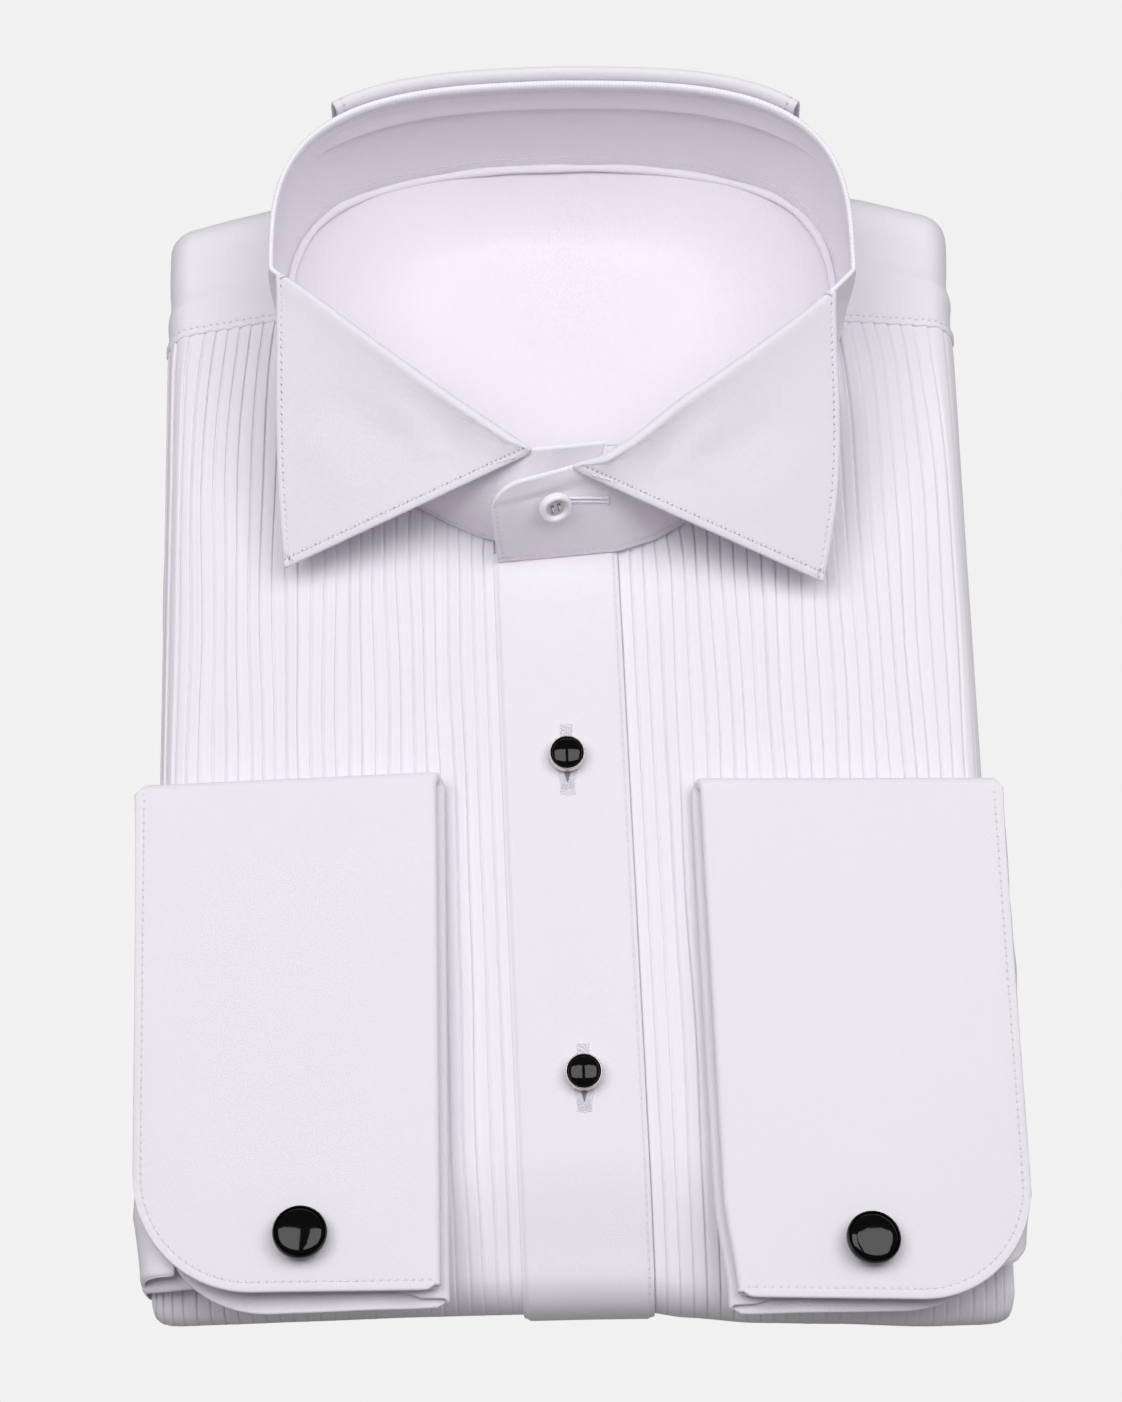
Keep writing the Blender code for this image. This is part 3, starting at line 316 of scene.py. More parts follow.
def makeCotton(name, finish):
    # White cotton: diagonal ribs broken into short floats, a faint slub, and needle holes along the seams. Its
    # colour holds painted shade: darker in the grooves between the ribs and in the needle holes.
    material, tree, shader = emptyMaterial(name)
    place = addNode(tree, "ShaderNodeUVMap", {"uv_map": "cloth"}).outputs[0]
    parts = addNode(tree, "ShaderNodeSeparateXYZ", None, i0=place).outputs
    angle = math.radians(finish["turn"])
    turnsPerMetre = 2.0 * math.pi * 1000.0 / finish["pitch"]
    ribX = maths(tree, "MULTIPLY", parts[0], math.cos(angle) * turnsPerMetre)
    ribY = maths(tree, "MULTIPLY", parts[1], math.sin(angle) * turnsPerMetre)
    rib = maths(tree, "SINE", maths(tree, "ADD", ribX, ribY))
    floatX = maths(tree, "MULTIPLY", parts[0], -math.sin(angle + 0.5) * turnsPerMetre * 0.62)
    floatY = maths(tree, "MULTIPLY", parts[1], math.cos(angle + 0.5) * turnsPerMetre * 0.62)
    floats = maths(tree, "SINE", maths(tree, "ADD", floatX, floatY))
    weave = maths(tree, "MULTIPLY", rib, maths(tree, "MULTIPLY_ADD", floats, 0.35, 0.65))
    where = addNode(tree, "ShaderNodeTexCoord").outputs["Object"]
    slub = addNode(tree, "ShaderNodeTexNoise", None, Vector=where, Scale=420.0, Detail=3.0,
                   Roughness=0.6).outputs[0]
    cloud = addNode(tree, "ShaderNodeTexNoise", None, Vector=where, Scale=38.0, Detail=2.0).outputs[0]
    seam = addNode(tree, "ShaderNodeUVMap", {"uv_map": "seam"}).outputs[0]
    seamParts = addNode(tree, "ShaderNodeSeparateXYZ", None, i0=seam).outputs
    fromHole = maths(tree, "PINGPONG", seamParts[0], 0.5)
    fromLine = maths(tree, "ABSOLUTE", seamParts[1])
    hole = maths(tree, "MULTIPLY", nearZero(tree, fromHole, 0.02, 0.24), nearZero(tree, fromLine, 0.05, 0.42))
    relief = maths(tree, "MULTIPLY_ADD", weave, finish["weave"], maths(tree, "MULTIPLY", slub, finish["slub"]))
    relief = maths(tree, "MULTIPLY_ADD", hole, -finish["hole"], relief)
    bump = addNode(tree, "ShaderNodeBump", None, Height=relief, Distance=0.001, Strength=1.0)
    tree.links.new(bump.outputs[0], shader.inputs["Normal"])
    # the colour: painted shade in the weave's grooves, a faint cloud of tone at random, and painted shade in
    # the needle holes
    tone = maths(tree, "MULTIPLY_ADD", weave, finish["grooveShade"], 1.0)
    tone = maths(tree, "MULTIPLY_ADD", cloud, 0.02, maths(tree, "SUBTRACT", tone, 0.01))
    tone = maths(tree, "MULTIPLY_ADD", hole, -finish["holeShade"], tone)
    colour = addNode(tree, "ShaderNodeVectorMath", {"operation": "SCALE"}, i0=finish["colour"], Scale=tone)
    tree.links.new(colour.outputs[0], shader.inputs["Base Color"])
    rough = maths(tree, "MULTIPLY_ADD", slub, 0.12, finish["roughness"] - 0.06)
    tree.links.new(rough, shader.inputs["Roughness"])
    shader.inputs["Sheen Weight"].default_value = 0.10
    shader.inputs["Sheen Roughness"].default_value = 0.45
    shader.inputs["Specular IOR Level"].default_value = 0.25
    return material


def makeSmooth(name, finish):
    # A hard finish: one colour with a fine mottle in its tone and its roughness.
    material, tree, shader = emptyMaterial(name)
    where = addNode(tree, "ShaderNodeTexCoord").outputs["Object"]
    grain = addNode(tree, "ShaderNodeTexNoise", None, Vector=where, Scale=finish["grain"], Detail=4.0)
    grain = grain.outputs[0]
    tone = maths(tree, "MULTIPLY_ADD", grain, finish["mottle"], 1.0 - finish["mottle"] / 2.0)
    colour = addNode(tree, "ShaderNodeVectorMath", {"operation": "SCALE"}, i0=finish["colour"], Scale=tone)
    tree.links.new(colour.outputs[0], shader.inputs["Base Color"])
    smoothest = finish["roughness"] - finish["roughSpread"] / 2.0
    rough = maths(tree, "MULTIPLY_ADD", grain, finish["roughSpread"], smoothest)
    tree.links.new(rough, shader.inputs["Roughness"])
    bump = addNode(tree, "ShaderNodeBump", None, Height=grain, Distance=finish["relief"], Strength=1.0)
    tree.links.new(bump.outputs[0], shader.inputs["Normal"])
    shader.inputs["Metallic"].default_value = finish["metal"]
    shader.inputs["Specular IOR Level"].default_value = finish.get("shine", 0.5)
    return material


cottonFinish = {
    "colour": (0.845, 0.815, 0.877), "roughness": 0.86,
    "turn": 38.0, "pitch": 0.62,               # the twill's ribs: degrees, and mm from one to the next
    "weave": 0.013, "grooveShade": 0.014,        # depth in mm, and share of the colour darkened in the grooves as painted shade
    "slub": 0.034,
    "hole": 0.20, "holeShade": 0.30,            # needle holes, as the weave: depth in mm, and share of the colour darkened in them as painted shade
}
bodyCotton = makeCotton("bodyCotton", cottonFinish)
stiffCotton = makeCotton("stiffCotton", dict(cottonFinish, turn=-42.0, weave=0.020, grooveShade=0.020, slub=0.10,
                                             hole=0.28, holeShade=0.34, colour=(0.800, 0.768, 0.830)))
placketCotton = makeCotton("placketCotton", dict(cottonFinish, turn=40.0, weave=0.018, grooveShade=0.020,
                                                 hole=0.07, holeShade=0.08, colour=(0.820, 0.788, 0.850)))
# the lining's cotton: the body's, with a darker colour that is painted shade
shadedLiningCotton = makeCotton("shadedLiningCotton", dict(cottonFinish, colour=(0.790, 0.760, 0.820)))
# the band's cotton: a coarser weave, and a colour lighter than the body's, which is painted light
litBandCotton = makeCotton("litBandCotton", dict(cottonFinish, turn=52.0, weave=0.036, grooveShade=0.045,
                                           colour=(0.880, 0.847, 0.915)))
cuffCotton = makeCotton("cuffCotton", dict(cottonFinish, turn=40.0, weave=0.018, grooveShade=0.020,
                                           hole=0.14, holeShade=0.16, colour=(0.812, 0.780, 0.842)))
threadCotton = makeSmooth("threadCotton", {
    "colour": (0.80, 0.77, 0.84), "roughness": 0.7, "roughSpread": 0.1, "grain": 3000.0, "mottle": 0.08,
    "relief": 0.00002, "metal": 0.0})
# painted shade: a dark cotton for the pieces that stand for the shade in the studs' slits and in the button's
# holes
shadeCotton = makeSmooth("shadeCotton", {
    "colour": (0.22, 0.20, 0.23), "roughness": 0.9, "roughSpread": 0.1, "grain": 2000.0, "mottle": 0.1,
    "relief": 0.00001, "metal": 0.0})
blackFace = makeSmooth("blackFace", {
    "colour": (0.003, 0.003, 0.0034), "roughness": 0.05, "roughSpread": 0.02, "grain": 90.0, "mottle": 0.2,
    "relief": 0.0, "metal": 0.0, "shine": 0.34})
brightRim = makeSmooth("brightRim", {
    "colour": (0.75, 0.71, 0.675), "roughness": 0.31, "roughSpread": 0.03, "grain": 900.0, "mottle": 0.04,
    "relief": 0.0000004, "metal": 1.0})
blackCase = makeSmooth("blackCase", {
    "colour": (0.035, 0.034, 0.037), "roughness": 0.24, "roughSpread": 0.08, "grain": 700.0, "mottle": 0.1,
    "relief": 0.000003, "metal": 1.0})
buttonWhite = makeSmooth("buttonWhite", {
    "colour": (0.86, 0.85, 0.875), "roughness": 0.28, "roughSpread": 0.08, "grain": 240.0, "mottle": 0.03,
    "relief": 0.00001, "metal": 0.0})
buttonMiddle = makeSmooth("buttonMiddle", {
    "colour": (0.62, 0.605, 0.635), "roughness": 0.35, "roughSpread": 0.1, "grain": 600.0, "mottle": 0.06,
    "relief": 0.00001, "metal": 0.0})


# mm from one stitch to the next, the share of it that shows, the thread's size, and the faces of each stitch
stitch = {"pitch": 1.9, "share": 0.64, "width": 0.42, "height": 0.20, "rings": 5, "sides": 6}


def stitchParts(path, normals, size=stitch):
    # Stitches at even steps along a path, each a small ellipsoid that is long along it and flat on the cloth.
    # The needle holes lie at whole steps, and the stitches between them.
    path = np.asarray(path, float)
    along = lengths(path)
    middle = (np.arange(int(along[-1] / size["pitch"])) + 0.5) * size["pitch"]
    centre = pickAt(path, along, middle)
    ahead = unit(pickAt(path, along, middle + 0.3) - pickAt(path, along, middle - 0.3))
    up = unit(pickAt(normals, along, middle))
    side = unit(np.cross(up, ahead))
    turn = np.arange(1, size["rings"] + 1) * math.pi / (size["rings"] + 1)
    roundIt = np.arange(size["sides"]) * 2.0 * math.pi / size["sides"]
    reach = size["pitch"] * size["share"] / 2.0
    lengthPart = -np.cos(turn)[None, :, None, None] * reach * ahead[:, None, None, :]
    sidePart = np.cos(roundIt)[None, None, :, None] * size["width"] / 2.0 * side[:, None, None, :]
    upPart = np.sin(roundIt)[None, None, :, None] * size["height"] * up[:, None, None, :]
    body = lengthPart + np.sin(turn)[None, :, None, None] ** 0.6 * (sidePart + upPart)
    ends = np.stack([-ahead * reach, ahead * reach], 1)
    count = len(middle)
    points = np.concatenate([ends, body.reshape(count, -1, 3)], axis=1) + centre[:, None, :]
    shift = (np.arange(count) * (2 + size["rings"] * size["sides"]))[:, None, None]
    # the sides are listed the other way round than the ends
    sides, first, last = tubeFaces(size["rings"], size["sides"])
    faceSets = [(faces[None] + shift).reshape(-1, faces.shape[1]) for faces in (sides[:, ::-1], first, last)]
    points = points.reshape(-1, 3)
    return points, outwards(points - points[0], faceSets)


def straightUp(count):
    # the same upright normal at every point
    return np.tile([0.0, 0.0, 1.0], (count, 1))


def putStitches(name, lines, size=stitch):
    # one piece of all the stitches on several lines, each a path and its normals
    points, faceSets = joined([stitchParts(path, normals, size) for path, normals in lines])
    piece = putMesh(name, points, faceSets, threadCotton)
    return piece


def softLine(x, table):
    # a line through the table's points, halfway between straight pieces and pieces level at their ends
    at, height = np.array(table).T
    place = np.clip(np.searchsorted(at, x) - 1, 0, len(at) - 2)
    part = (x - at[place]) / (at[place + 1] - at[place])
    return mix(height[place], height[place + 1], mix(smooth(part), np.clip(part, 0.0, 1.0), 0.5))


def nearEdge(x):
    # y of the packet's near end
    return softLine(x, packet["nearLine"])


def farEdge(x):
    # y of the packet's far end: a slope to both sides, rounded on the centre line as a hyperbola is
    slope, bend = packet["shoulder"]
    return packet["farEdge"] - slope * (np.sqrt(x**2 + bend**2) - bend)


def skin(u, v):
    # The packet's surface: u runs across and round the side rolls, v along and round the end rolls. On a roll
    # the point goes round a squared quarter circle, and below the near roll it hangs straight down.
    u, v = np.broadcast_arrays(np.asarray(u, float), np.asarray(v, float))
    side = np.clip((np.abs(u) - packet["halfFlat"]) / packet["rollArc"], 0.0, 1.0) * packet["sideTurn"]
    x = np.sign(u) * (np.minimum(np.abs(u), packet["halfFlat"]) + packet["sideRoll"] * np.sin(side))
    x = x - packet["rightIn"] * smooth((x - 20.0) / 80.0)
    crown = packet["crown"] * np.minimum(np.abs(u) / packet["halfFlat"], 1.0) ** packet["crownPower"]
    crest = mix(packet["crest"][0], packet["crest"][1], smooth(v / (neck["y"] - neck["front"])))
    crest = crest - packet["droop"][0] * (1.0 - smooth(v / packet["droop"][1]))
    height = (crest - crown - packet["sideFoldZ"]) * np.cos(side)
    nearReach, nearArc, nearDrop = packet["nearRoll"]
    near = nearEdge(x) + nearReach
    far = farEdge(x) - packet["endRoll"]
    nearTurn = np.clip((near - v) / nearArc, 0.0, 1.0) * math.pi / 2.0
    farTurn = np.clip((v - far) / packet["rollArc"], 0.0, 1.0) * math.pi / 2.0
    squared = np.cos(side) ** packet["cornerPower"]
    y = np.clip(v, near, far) + squared * (packet["endRoll"] * np.sin(farTurn) - nearReach * np.sin(nearTurn))
    hang = np.clip(near - nearArc - v, 0.0, None)
    z = packet["sideFoldZ"] + height * np.cos(nearTurn + farTurn) - nearDrop * (1.0 - np.cos(nearTurn)) - hang
    return np.stack([x, y, z], axis=-1)


def skinNormal(u, v):
    # square to short steps across and along
    across = skin(u + 0.2, v) - skin(u - 0.2, v)
    along = skin(u, v + 0.2) - skin(u, v - 0.2)
    return unit(np.cross(across, along))


def lifted(u, v, height):
    # the skin's point, moved out along its normal
    within = np.sign(u) * np.minimum(np.abs(u), uEnd - 0.3)
    return skin(u, v) + skinNormal(within, v) * np.asarray(height)[..., None]


def creases(x, y, table):
    # Soft ridges and troughs: the bell of the distance to a straight piece of line, faded towards its ends.
    total = np.zeros(np.broadcast(x, y).shape)
    for x0, y0, x1, y1, width, height in table:
        length = math.hypot(x1 - x0, y1 - y0)
        along = ((x - x0) * (x1 - x0) + (y - y0) * (y1 - y0)) / length
        off = ((x - x0) * (y1 - y0) - (y - y0) * (x1 - x0)) / length
        fade = smooth((along + 0.3 * length) / (0.5 * length)) * smooth((1.3 * length - along) / (0.5 * length))
        total = total + height * hump(off / width) * fade
    return total


def ovalFront(x, half, front, power, centre):
    # y of a squared oval's front half at x
    share = np.clip(np.abs(x) / half, 0.0, 1.0)
    return centre - front * (1.0 - share**power) ** (1.0 / power)


def oval(share, half, centre, back, front, backPower, frontPower):
    # Plan of a closed loop: 0 is its front, 0.25 the right side (-X), 0.5 the back, 0.75 the left.
    # Each quarter is an arc of a squared oval, with points spread evenly along it.
    share = np.mod(np.asarray(share, float), 1.0)
    turn = np.linspace(0.0, math.pi / 2.0, 400)
    result = np.zeros(share.shape + (2,))
    for quarter in range(4):
        isFront = quarter in (0, 3)
        power = frontPower if isFront else backPower
        x = half * np.sin(turn) ** (2.0 / power)
        y = (front if isFront else back) * np.cos(turn) ** (2.0 / power)
        length = np.concatenate([[0.0], np.cumsum(np.hypot(np.diff(x), np.diff(y)))])
        here = (share >= quarter * 0.25) & (share <= quarter * 0.25 + 0.25)
        part = (share[here] - quarter * 0.25) * 4.0
        if quarter in (1, 3):
            part = 1.0 - part
        result[here, 0] = np.interp(part * length[-1], length, x) * (-1.0 if quarter < 2 else 1.0)
        result[here, 1] = centre + np.interp(part * length[-1], length, y) * (-1.0 if isFront else 1.0)
    return result


collar = {
    # the band's top edge in plan: an oval like the neck's, turned a little
    "topHalf": 81.0, "topY": 283.0, "topBack": 56.7, "topFront": 60.4, "topPowers": (3.3, 1.05),
    "topTurn": 0.045,
    "topZ": (56.0, 60.0, 64.5),          # front, side, back
    "lift": (3.5, 2.6, 1.7),             # the band's foot over the skin: placket, pleats, yoke
    "endShare": 0.03, "loop": 450.0,     # share of the loop where an end leaves it, and the loop's length
    "overLength": 33.0, "underLength": 20.0, "overStep": 2.0, "endCorner": 9.0,
    "wall": 1.3,
}


def neckSeam(share):
    # the neck's oval in plan
    return oval(share, neck["half"], neck["y"], neck["back"], neck["front"], *neck["powers"])


def collarTop(share):
    # the band's top edge in plan, its front part turned towards one side
    plan = oval(share, collar["topHalf"], collar["topY"], collar["topBack"], collar["topFront"],
                *collar["topPowers"])
    plan[..., 1] -= collar["topTurn"] * plan[..., 0] * smooth((collar["topY"] + 15.0 - plan[..., 1]) / 30.0)
    return plan


def topHeight(share):
    # straight pieces from the front over the sides to the back
    fromFront = 1.0 - np.abs(1.0 - 2.0 * np.mod(share, 1.0))
    return np.interp(fromFront, [0.0, 0.5, 1.0], collar["topZ"])


def withEnds(loop, share, overWay, underWay):
    # a loop whose two ends leave it and run straight on, the left end over the right one
    end = collar["endShare"]
    plan = loop(np.clip(share, end, 1.0 - end))
    over = np.clip(share - (1.0 - end), 0.0, None)[..., None] * collar["loop"]
    under = np.clip(end - share, 0.0, None)[..., None] * collar["loop"]
    out = np.zeros_like(plan)
    out[..., 1] = -collar["overStep"] * smooth((share - 0.90) / 0.05)
    return plan + over * np.array(overWay) + under * np.array(underWay) + out


def bandFoot(share):
    # the neck's oval with its two ends, laid on what is under it
    plan = withEnds(neckSeam, share, (-1.0, -0.08), (1.0, 0.0))
    ground = skin(plan[..., 0], plan[..., 1])[..., 2]
    offPlacket = smooth((np.abs(plan[..., 0]) - 20.0) / 3.0)
    onYoke = smooth((plan[..., 1] - neck["y"] - 3.0) / 8.0)
    lift = mix(mix(collar["lift"][0], collar["lift"][1], offPlacket), collar["lift"][2], onYoke)
    return np.concatenate([plan, (ground + lift)[..., None]], -1)


def bandTop(share):
    # the top edge's oval with its two ends, at its height
    plan = withEnds(collarTop, share, (-0.96, -0.26), (1.0, 0.1))
    return np.concatenate([plan, topHeight(np.clip(share, 0.0, 1.0))[..., None]], -1)


def bandPoint(share, up):
    # straight from foot to top, with a slight belly: half a sine wave
    share, up = np.broadcast_arrays(share, up)
    foot = bandFoot(share)
    out = foot - np.array([0.0, neck["y"], 0.0])
    out[..., 2] = 0.0
    # the right end stands upright from its foot before it leans back
    belly = 0.9 + 3.4 * smooth((share - 0.005) / 0.03) * smooth((0.15 - share) / 0.06)
    return mix(foot, bandTop(share), up[..., None]) + unit(out) * (belly * np.sin(math.pi * up))[..., None]


# pleats whose folds face the placket
fronts = {
    "pleats": {"left": 29, "right": 29},
    "cloth": 1.1,
    "rise": 0.60,
    "profile": (
        # share of the way to the next fold, share of the rise: the fold's nose, its back, and the groove
        (0.0, -0.44), (-0.012, 0.0), (-0.016, 0.46), (0.010, 0.80), (0.055, 0.97), (0.13, 1.0), (0.27, 0.88),
        (0.43, 0.75), (0.58, 0.67), (0.69, 0.60), (0.77, 0.42), (0.84, 0.08), (0.90, -0.28), (0.95, -0.44),
    ),
    "facing": {"left": -1, "right": 1},      # 1 where the noses face the placket
    "splay": 4.0, "splayLength": 25.0,       # the pleats spread towards the yoke beside the neck
    "wander": 0.32,
    "rows": (7, 10, 64),                     # up the near end, round its roll, along the top
    "footCurl": 0.5,
}
# half its width, the x of its middle and how that drifts along y, its underside's height and its cloth
placketSize = {"half": 17.0, "x": 1.15, "skew": -0.0222, "lift": 1.6, "cloth": 1.3}
placketTop = placketSize["lift"] + placketSize["cloth"]
swells = (
    # broad soft swells in the fronts: x0, y0, x1, y1, width, height
    (84.0, 270.0, 92.0, 150.0, 5.0, 0.7),
    (103.0, 250.0, 108.0, 150.0, 4.0, -0.5),
    (55.0, 205.0, 60.0, 150.0, 6.0, 0.5),
    (-60.0, 190.0, -64.0, 120.0, 7.0, 0.4),
    (-96.0, 270.0, -99.0, 180.0, 5.0, 0.5),
    (30.0, 215.0, 27.0, 40.0, 4.0, 0.45),
    (-33.0, 205.0, -36.0, 60.0, 5.0, -0.35),
    (24.0, 120.0, 24.0, 20.0, 3.0, 0.5),
    (78.6, 285.0, 80.4, 262.0, 0.9, -1.1),
    (76.4, 285.0, 78.4, 264.0, 0.8, 0.5),
    (40.0, 200.0, 66.0, 170.0, 5.0, 0.35),
)


def yokeSeam(u):
    # v of the seam between yoke and fronts: it falls evenly from the neck to the side
    start = np.where(u > 0.0, neck["seamY"]["left"], neck["seamY"]["right"])
    fall = np.where(u > 0.0, neck["seamFall"]["left"], neck["seamFall"]["right"])
    return start - fall * np.clip((np.abs(u) - neck["half"]) / (uEnd - neck["half"]), 0.0, 1.0)


def frontFar(u):
    # v where a front ends: the neck's oval, and beyond it the yoke seam
    arc = ovalFront(u, neck["half"], neck["front"], neck["powers"][1], neck["y"])
    return np.where(np.abs(u) < neck["half"], arc, yokeSeam(u)) - packet["gap"]


def placketCentre(v):
    # u of the placket's middle, which drifts evenly along v
    return placketSize["x"] + placketSize["skew"] * v


def rowsAlong(u, far, counts):
    # v of the rows at each u: up the near end, round its roll, then along the top, closer towards the far edge
    reach, arc, drop = packet["nearRoll"]
    near = nearEdge(skin(u, 100.0)[..., 0]) + reach
    foot = near - arc - packet["sideFoldZ"] + drop + packet["gap"]
    low, roll = [np.linspace(0.0, 1.0, count, endpoint=False)[:, None] for count in counts[:2]]
    top = 1.0 - (1.0 - np.linspace(0.0, 1.0, counts[2])[:, None]) ** 1.25
    return np.concatenate([
        mix(foot, near - arc, low),
        mix(near - arc, near, roll),
        mix(near, far, top),
    ])


def curledFoot(points, depth):
    # the lowest few millimetres turn in under the near end
    low = smooth((4.0 - points[..., 2]) / 4.0) ** 1.5
    near = points[..., 1] < 30.0
    return points + np.stack([np.zeros(low.shape), depth * low * near, np.zeros(low.shape)], -1)


def makeFront(side):
    # Rows of points from the placket to the side, spread evenly at each v, with one profile repeated at every
    # pleat as their height over the skin. The first three columns lie flat under the placket.
    sign = 1.0 if side == "left" else -1.0
    count = fronts["pleats"][side]
    step, rise = np.array(fronts["profile"]).T
    if fronts["facing"][side] < 0:
        step, rise = (1.0 - step)[::-1], rise[::-1]
    share = ((np.arange(count)[:, None] + step) / count).ravel()
    share = np.concatenate([[0.0, 0.0, 0.0], share, [1.0]])
    rise = np.concatenate([[0.0, 0.0, 0.0], np.tile(rise, count), [0.0]])
    total = sum(fronts["rows"])
    u = np.broadcast_to(sign * mix(18.0, uEnd, share), (total, len(share)))
    for _ in range(3):
        v = rowsAlong(u[fronts["rows"][0] + 4], frontFar(u[-1]), fronts["rows"])
        edge = sign * placketCentre(v) + placketSize["half"]
        u = mix(edge, uEnd, share)
        u[:, 0] = (sign * placketCentre(v) + 0.2)[:, 0]
        u[:, 1] = mix(u[:, 0], edge[:, 1] - 1.5, 0.6)
        u[:, 2] = edge[:, 2] - 1.5
        fromSeam = np.clip(frontFar(sign * u[-1]) - v, 0.0, None)
        shoulder = smooth((u - 70.0) / 15.0) * (1.0 - smooth((u - 106.0) / 12.0))
        u = sign * (u - fronts["splay"] * np.exp(-fromSeam / fronts["splayLength"]) * shoulder)
    # folds wander a little, and hook towards the placket close to the band
    free = smooth((np.abs(u) - 20.0) / 12.0) * smooth((uEnd - np.abs(u)) / 14.0)
    free = free * smooth(fromSeam / 12.0) * smooth((v - 14.0) / 30.0)
    wave = np.sin(v / 19.0 + u / 7.0) + 0.6 * np.sin(v / 11.0 - u / 5.0 + 1.0)
    wave = wave + 0.8 * np.sin(v / 47.0 + u / 13.0)
    nearNeck = smooth((75.0 - np.abs(u)) / 10.0) * smooth((np.abs(u) - 20.0) / 5.0)
    hook = -sign * 0.9 * np.exp(-fromSeam / 3.5) * nearNeck
    u = u + fronts["wander"] * wave * free + hook
    # relief: pleats a little unequal, swells over several of them
    pleatNumber = np.floor(np.clip(share, 0.0, 0.999) * count)
    unequal = 1.0 + 0.22 * np.sin(pleatNumber * 2.4 + 0.7) + 0.10 * np.sin(v / 31.0 + pleatNumber * 1.3)
    pressed = mix(0.62, 1.0, smooth(fromSeam / 5.0))
    low = smooth((v - v[0]) / 5.0) * mix(0.3, 1.0, smooth((v - v[0] - 7.0) / 14.0))
    relief = fronts["rise"] * rise * unequal * pressed * low
    relief = relief + creases(u, v, swells) * free
    outer = curledFoot(lifted(u, v, fronts["cloth"] + relief), fronts["footCurl"])
    inner = curledFoot(lifted(u, v, np.zeros(u.shape)), fronts["footCurl"])
    piece = closedSheet("front" + side.capitalize(), outer, inner, np.stack([u, v], -1), bodyCotton)
    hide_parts("front_" + side)
    return piece


for side in ("left", "right"):
    makeFront(side)
print("fronts done")


placketLook = {
    # columns, closer at both edges and along the stitches
    "across": np.concatenate([[0.0, 0.25, 0.55, 0.8, 1.1, 1.5, 2.2], np.linspace(3.2, 30.8, 22),
                              [31.8, 32.5, 32.9, 33.2, 33.45, 33.75, 34.0]]),
    "seamAt": 33.2,        # distance of the stitches from its right edge as worn
    "groove": 0.10, "pitch": 2.3,
    "rows": (7, 10, 90),
    "ripples": (
        # x0, y0, x1, y1, width, height
        (-12.0, 200.0, -14.0, 165.0, 2.5, -0.16),
        (13.0, 190.0, 12.0, 150.0, 2.2, 0.14),
        (-9.0, 152.0, -14.0, 132.0, 3.0, 0.15),
        (7.0, 150.0, 13.0, 136.0, 2.4, -0.12),
        (-6.0, 62.0, -12.0, 74.0, 2.4, 0.14),
        (8.0, 60.0, 14.0, 50.0, 2.4, -0.12),
        (-15.0, 120.0, 15.0, 112.0, 6.0, 0.12),
    ),
}


def placketGrid(across, rows):
    # u and v of the placket's points: columns side by side about its middle, rows as the fronts have them
    shift = across - placketSize["half"]
    v = rowsAlong(placketCentre(0.0) + shift, neck["y"] - neck["front"] - 0.2, rows)
    return placketCentre(v) + shift, v


def makePlacket():
    # a flat band over the fronts, with a dip along its stitches, rounded edges and faint ripples
    across = placketLook["across"]
    u, v = placketGrid(across, placketLook["rows"])
    dip = placketLook["groove"] * hump((across - placketLook["seamAt"]) / 0.35)
    edge = 1.0 - smooth(np.minimum(across, 2.0 * placketSize["half"] - across) / 1.5)
    relief = creases(u, v, placketLook["ripples"]) - dip - 0.75 * edge
    outer = curledFoot(lifted(u, v, placketTop + relief), fronts["footCurl"])
    inner = curledFoot(lifted(u, v, placketSize["lift"] - 0.3 * edge + 0.0 * u), fronts["footCurl"])
    fromLine = np.broadcast_to(across - placketLook["seamAt"], u.shape)
    seam = np.stack([v / placketLook["pitch"], fromLine], -1)
    piece = closedSheet("placketCloth", outer, inner, np.stack([u, v], -1), placketCotton, seam)
    line = int(np.argmin(np.abs(across - placketLook["seamAt"])))
    stitches = putStitches("placketStitches", [(outer[:, line], gridNormals(outer)[:, line])],
                           dict(stitch, pitch=placketLook["pitch"], height=0.07, width=0.22))
    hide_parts("placket")
    return piece


makePlacket()
print("placket done")


yokeLook = {
    "cloth": 1.15,
    "lap": 0.9,            # it laps this far over the pleats' ends
    "lapRise": 0.75,
    "creases": (
        # x0, y0, x1, y1, width, height
        (-112.0, 291.0, -96.0, 297.0, 3.2, 0.8),
        (-112.0, 296.0, -94.0, 303.0, 4.0, -0.7),
        (-84.0, 296.0, -79.0, 288.0, 1.8, -0.7),
        (-90.0, 317.0, -104.0, 309.0, 6.0, 0.6),
        (112.0, 293.0, 92.0, 300.0, 3.0, 0.8),
        (112.0, 298.0, 90.0, 306.0, 4.0, -0.8),
        (108.0, 312.0, 84.0, 322.0, 6.0, 0.9),
        (82.0, 306.0, 94.0, 296.0, 5.0, -0.4),
        (-60.0, 343.0, -30.0, 341.0, 4.0, 0.5),
        (20.0, 342.0, 58.0, 344.0, 4.0, -0.5),
    ),
}


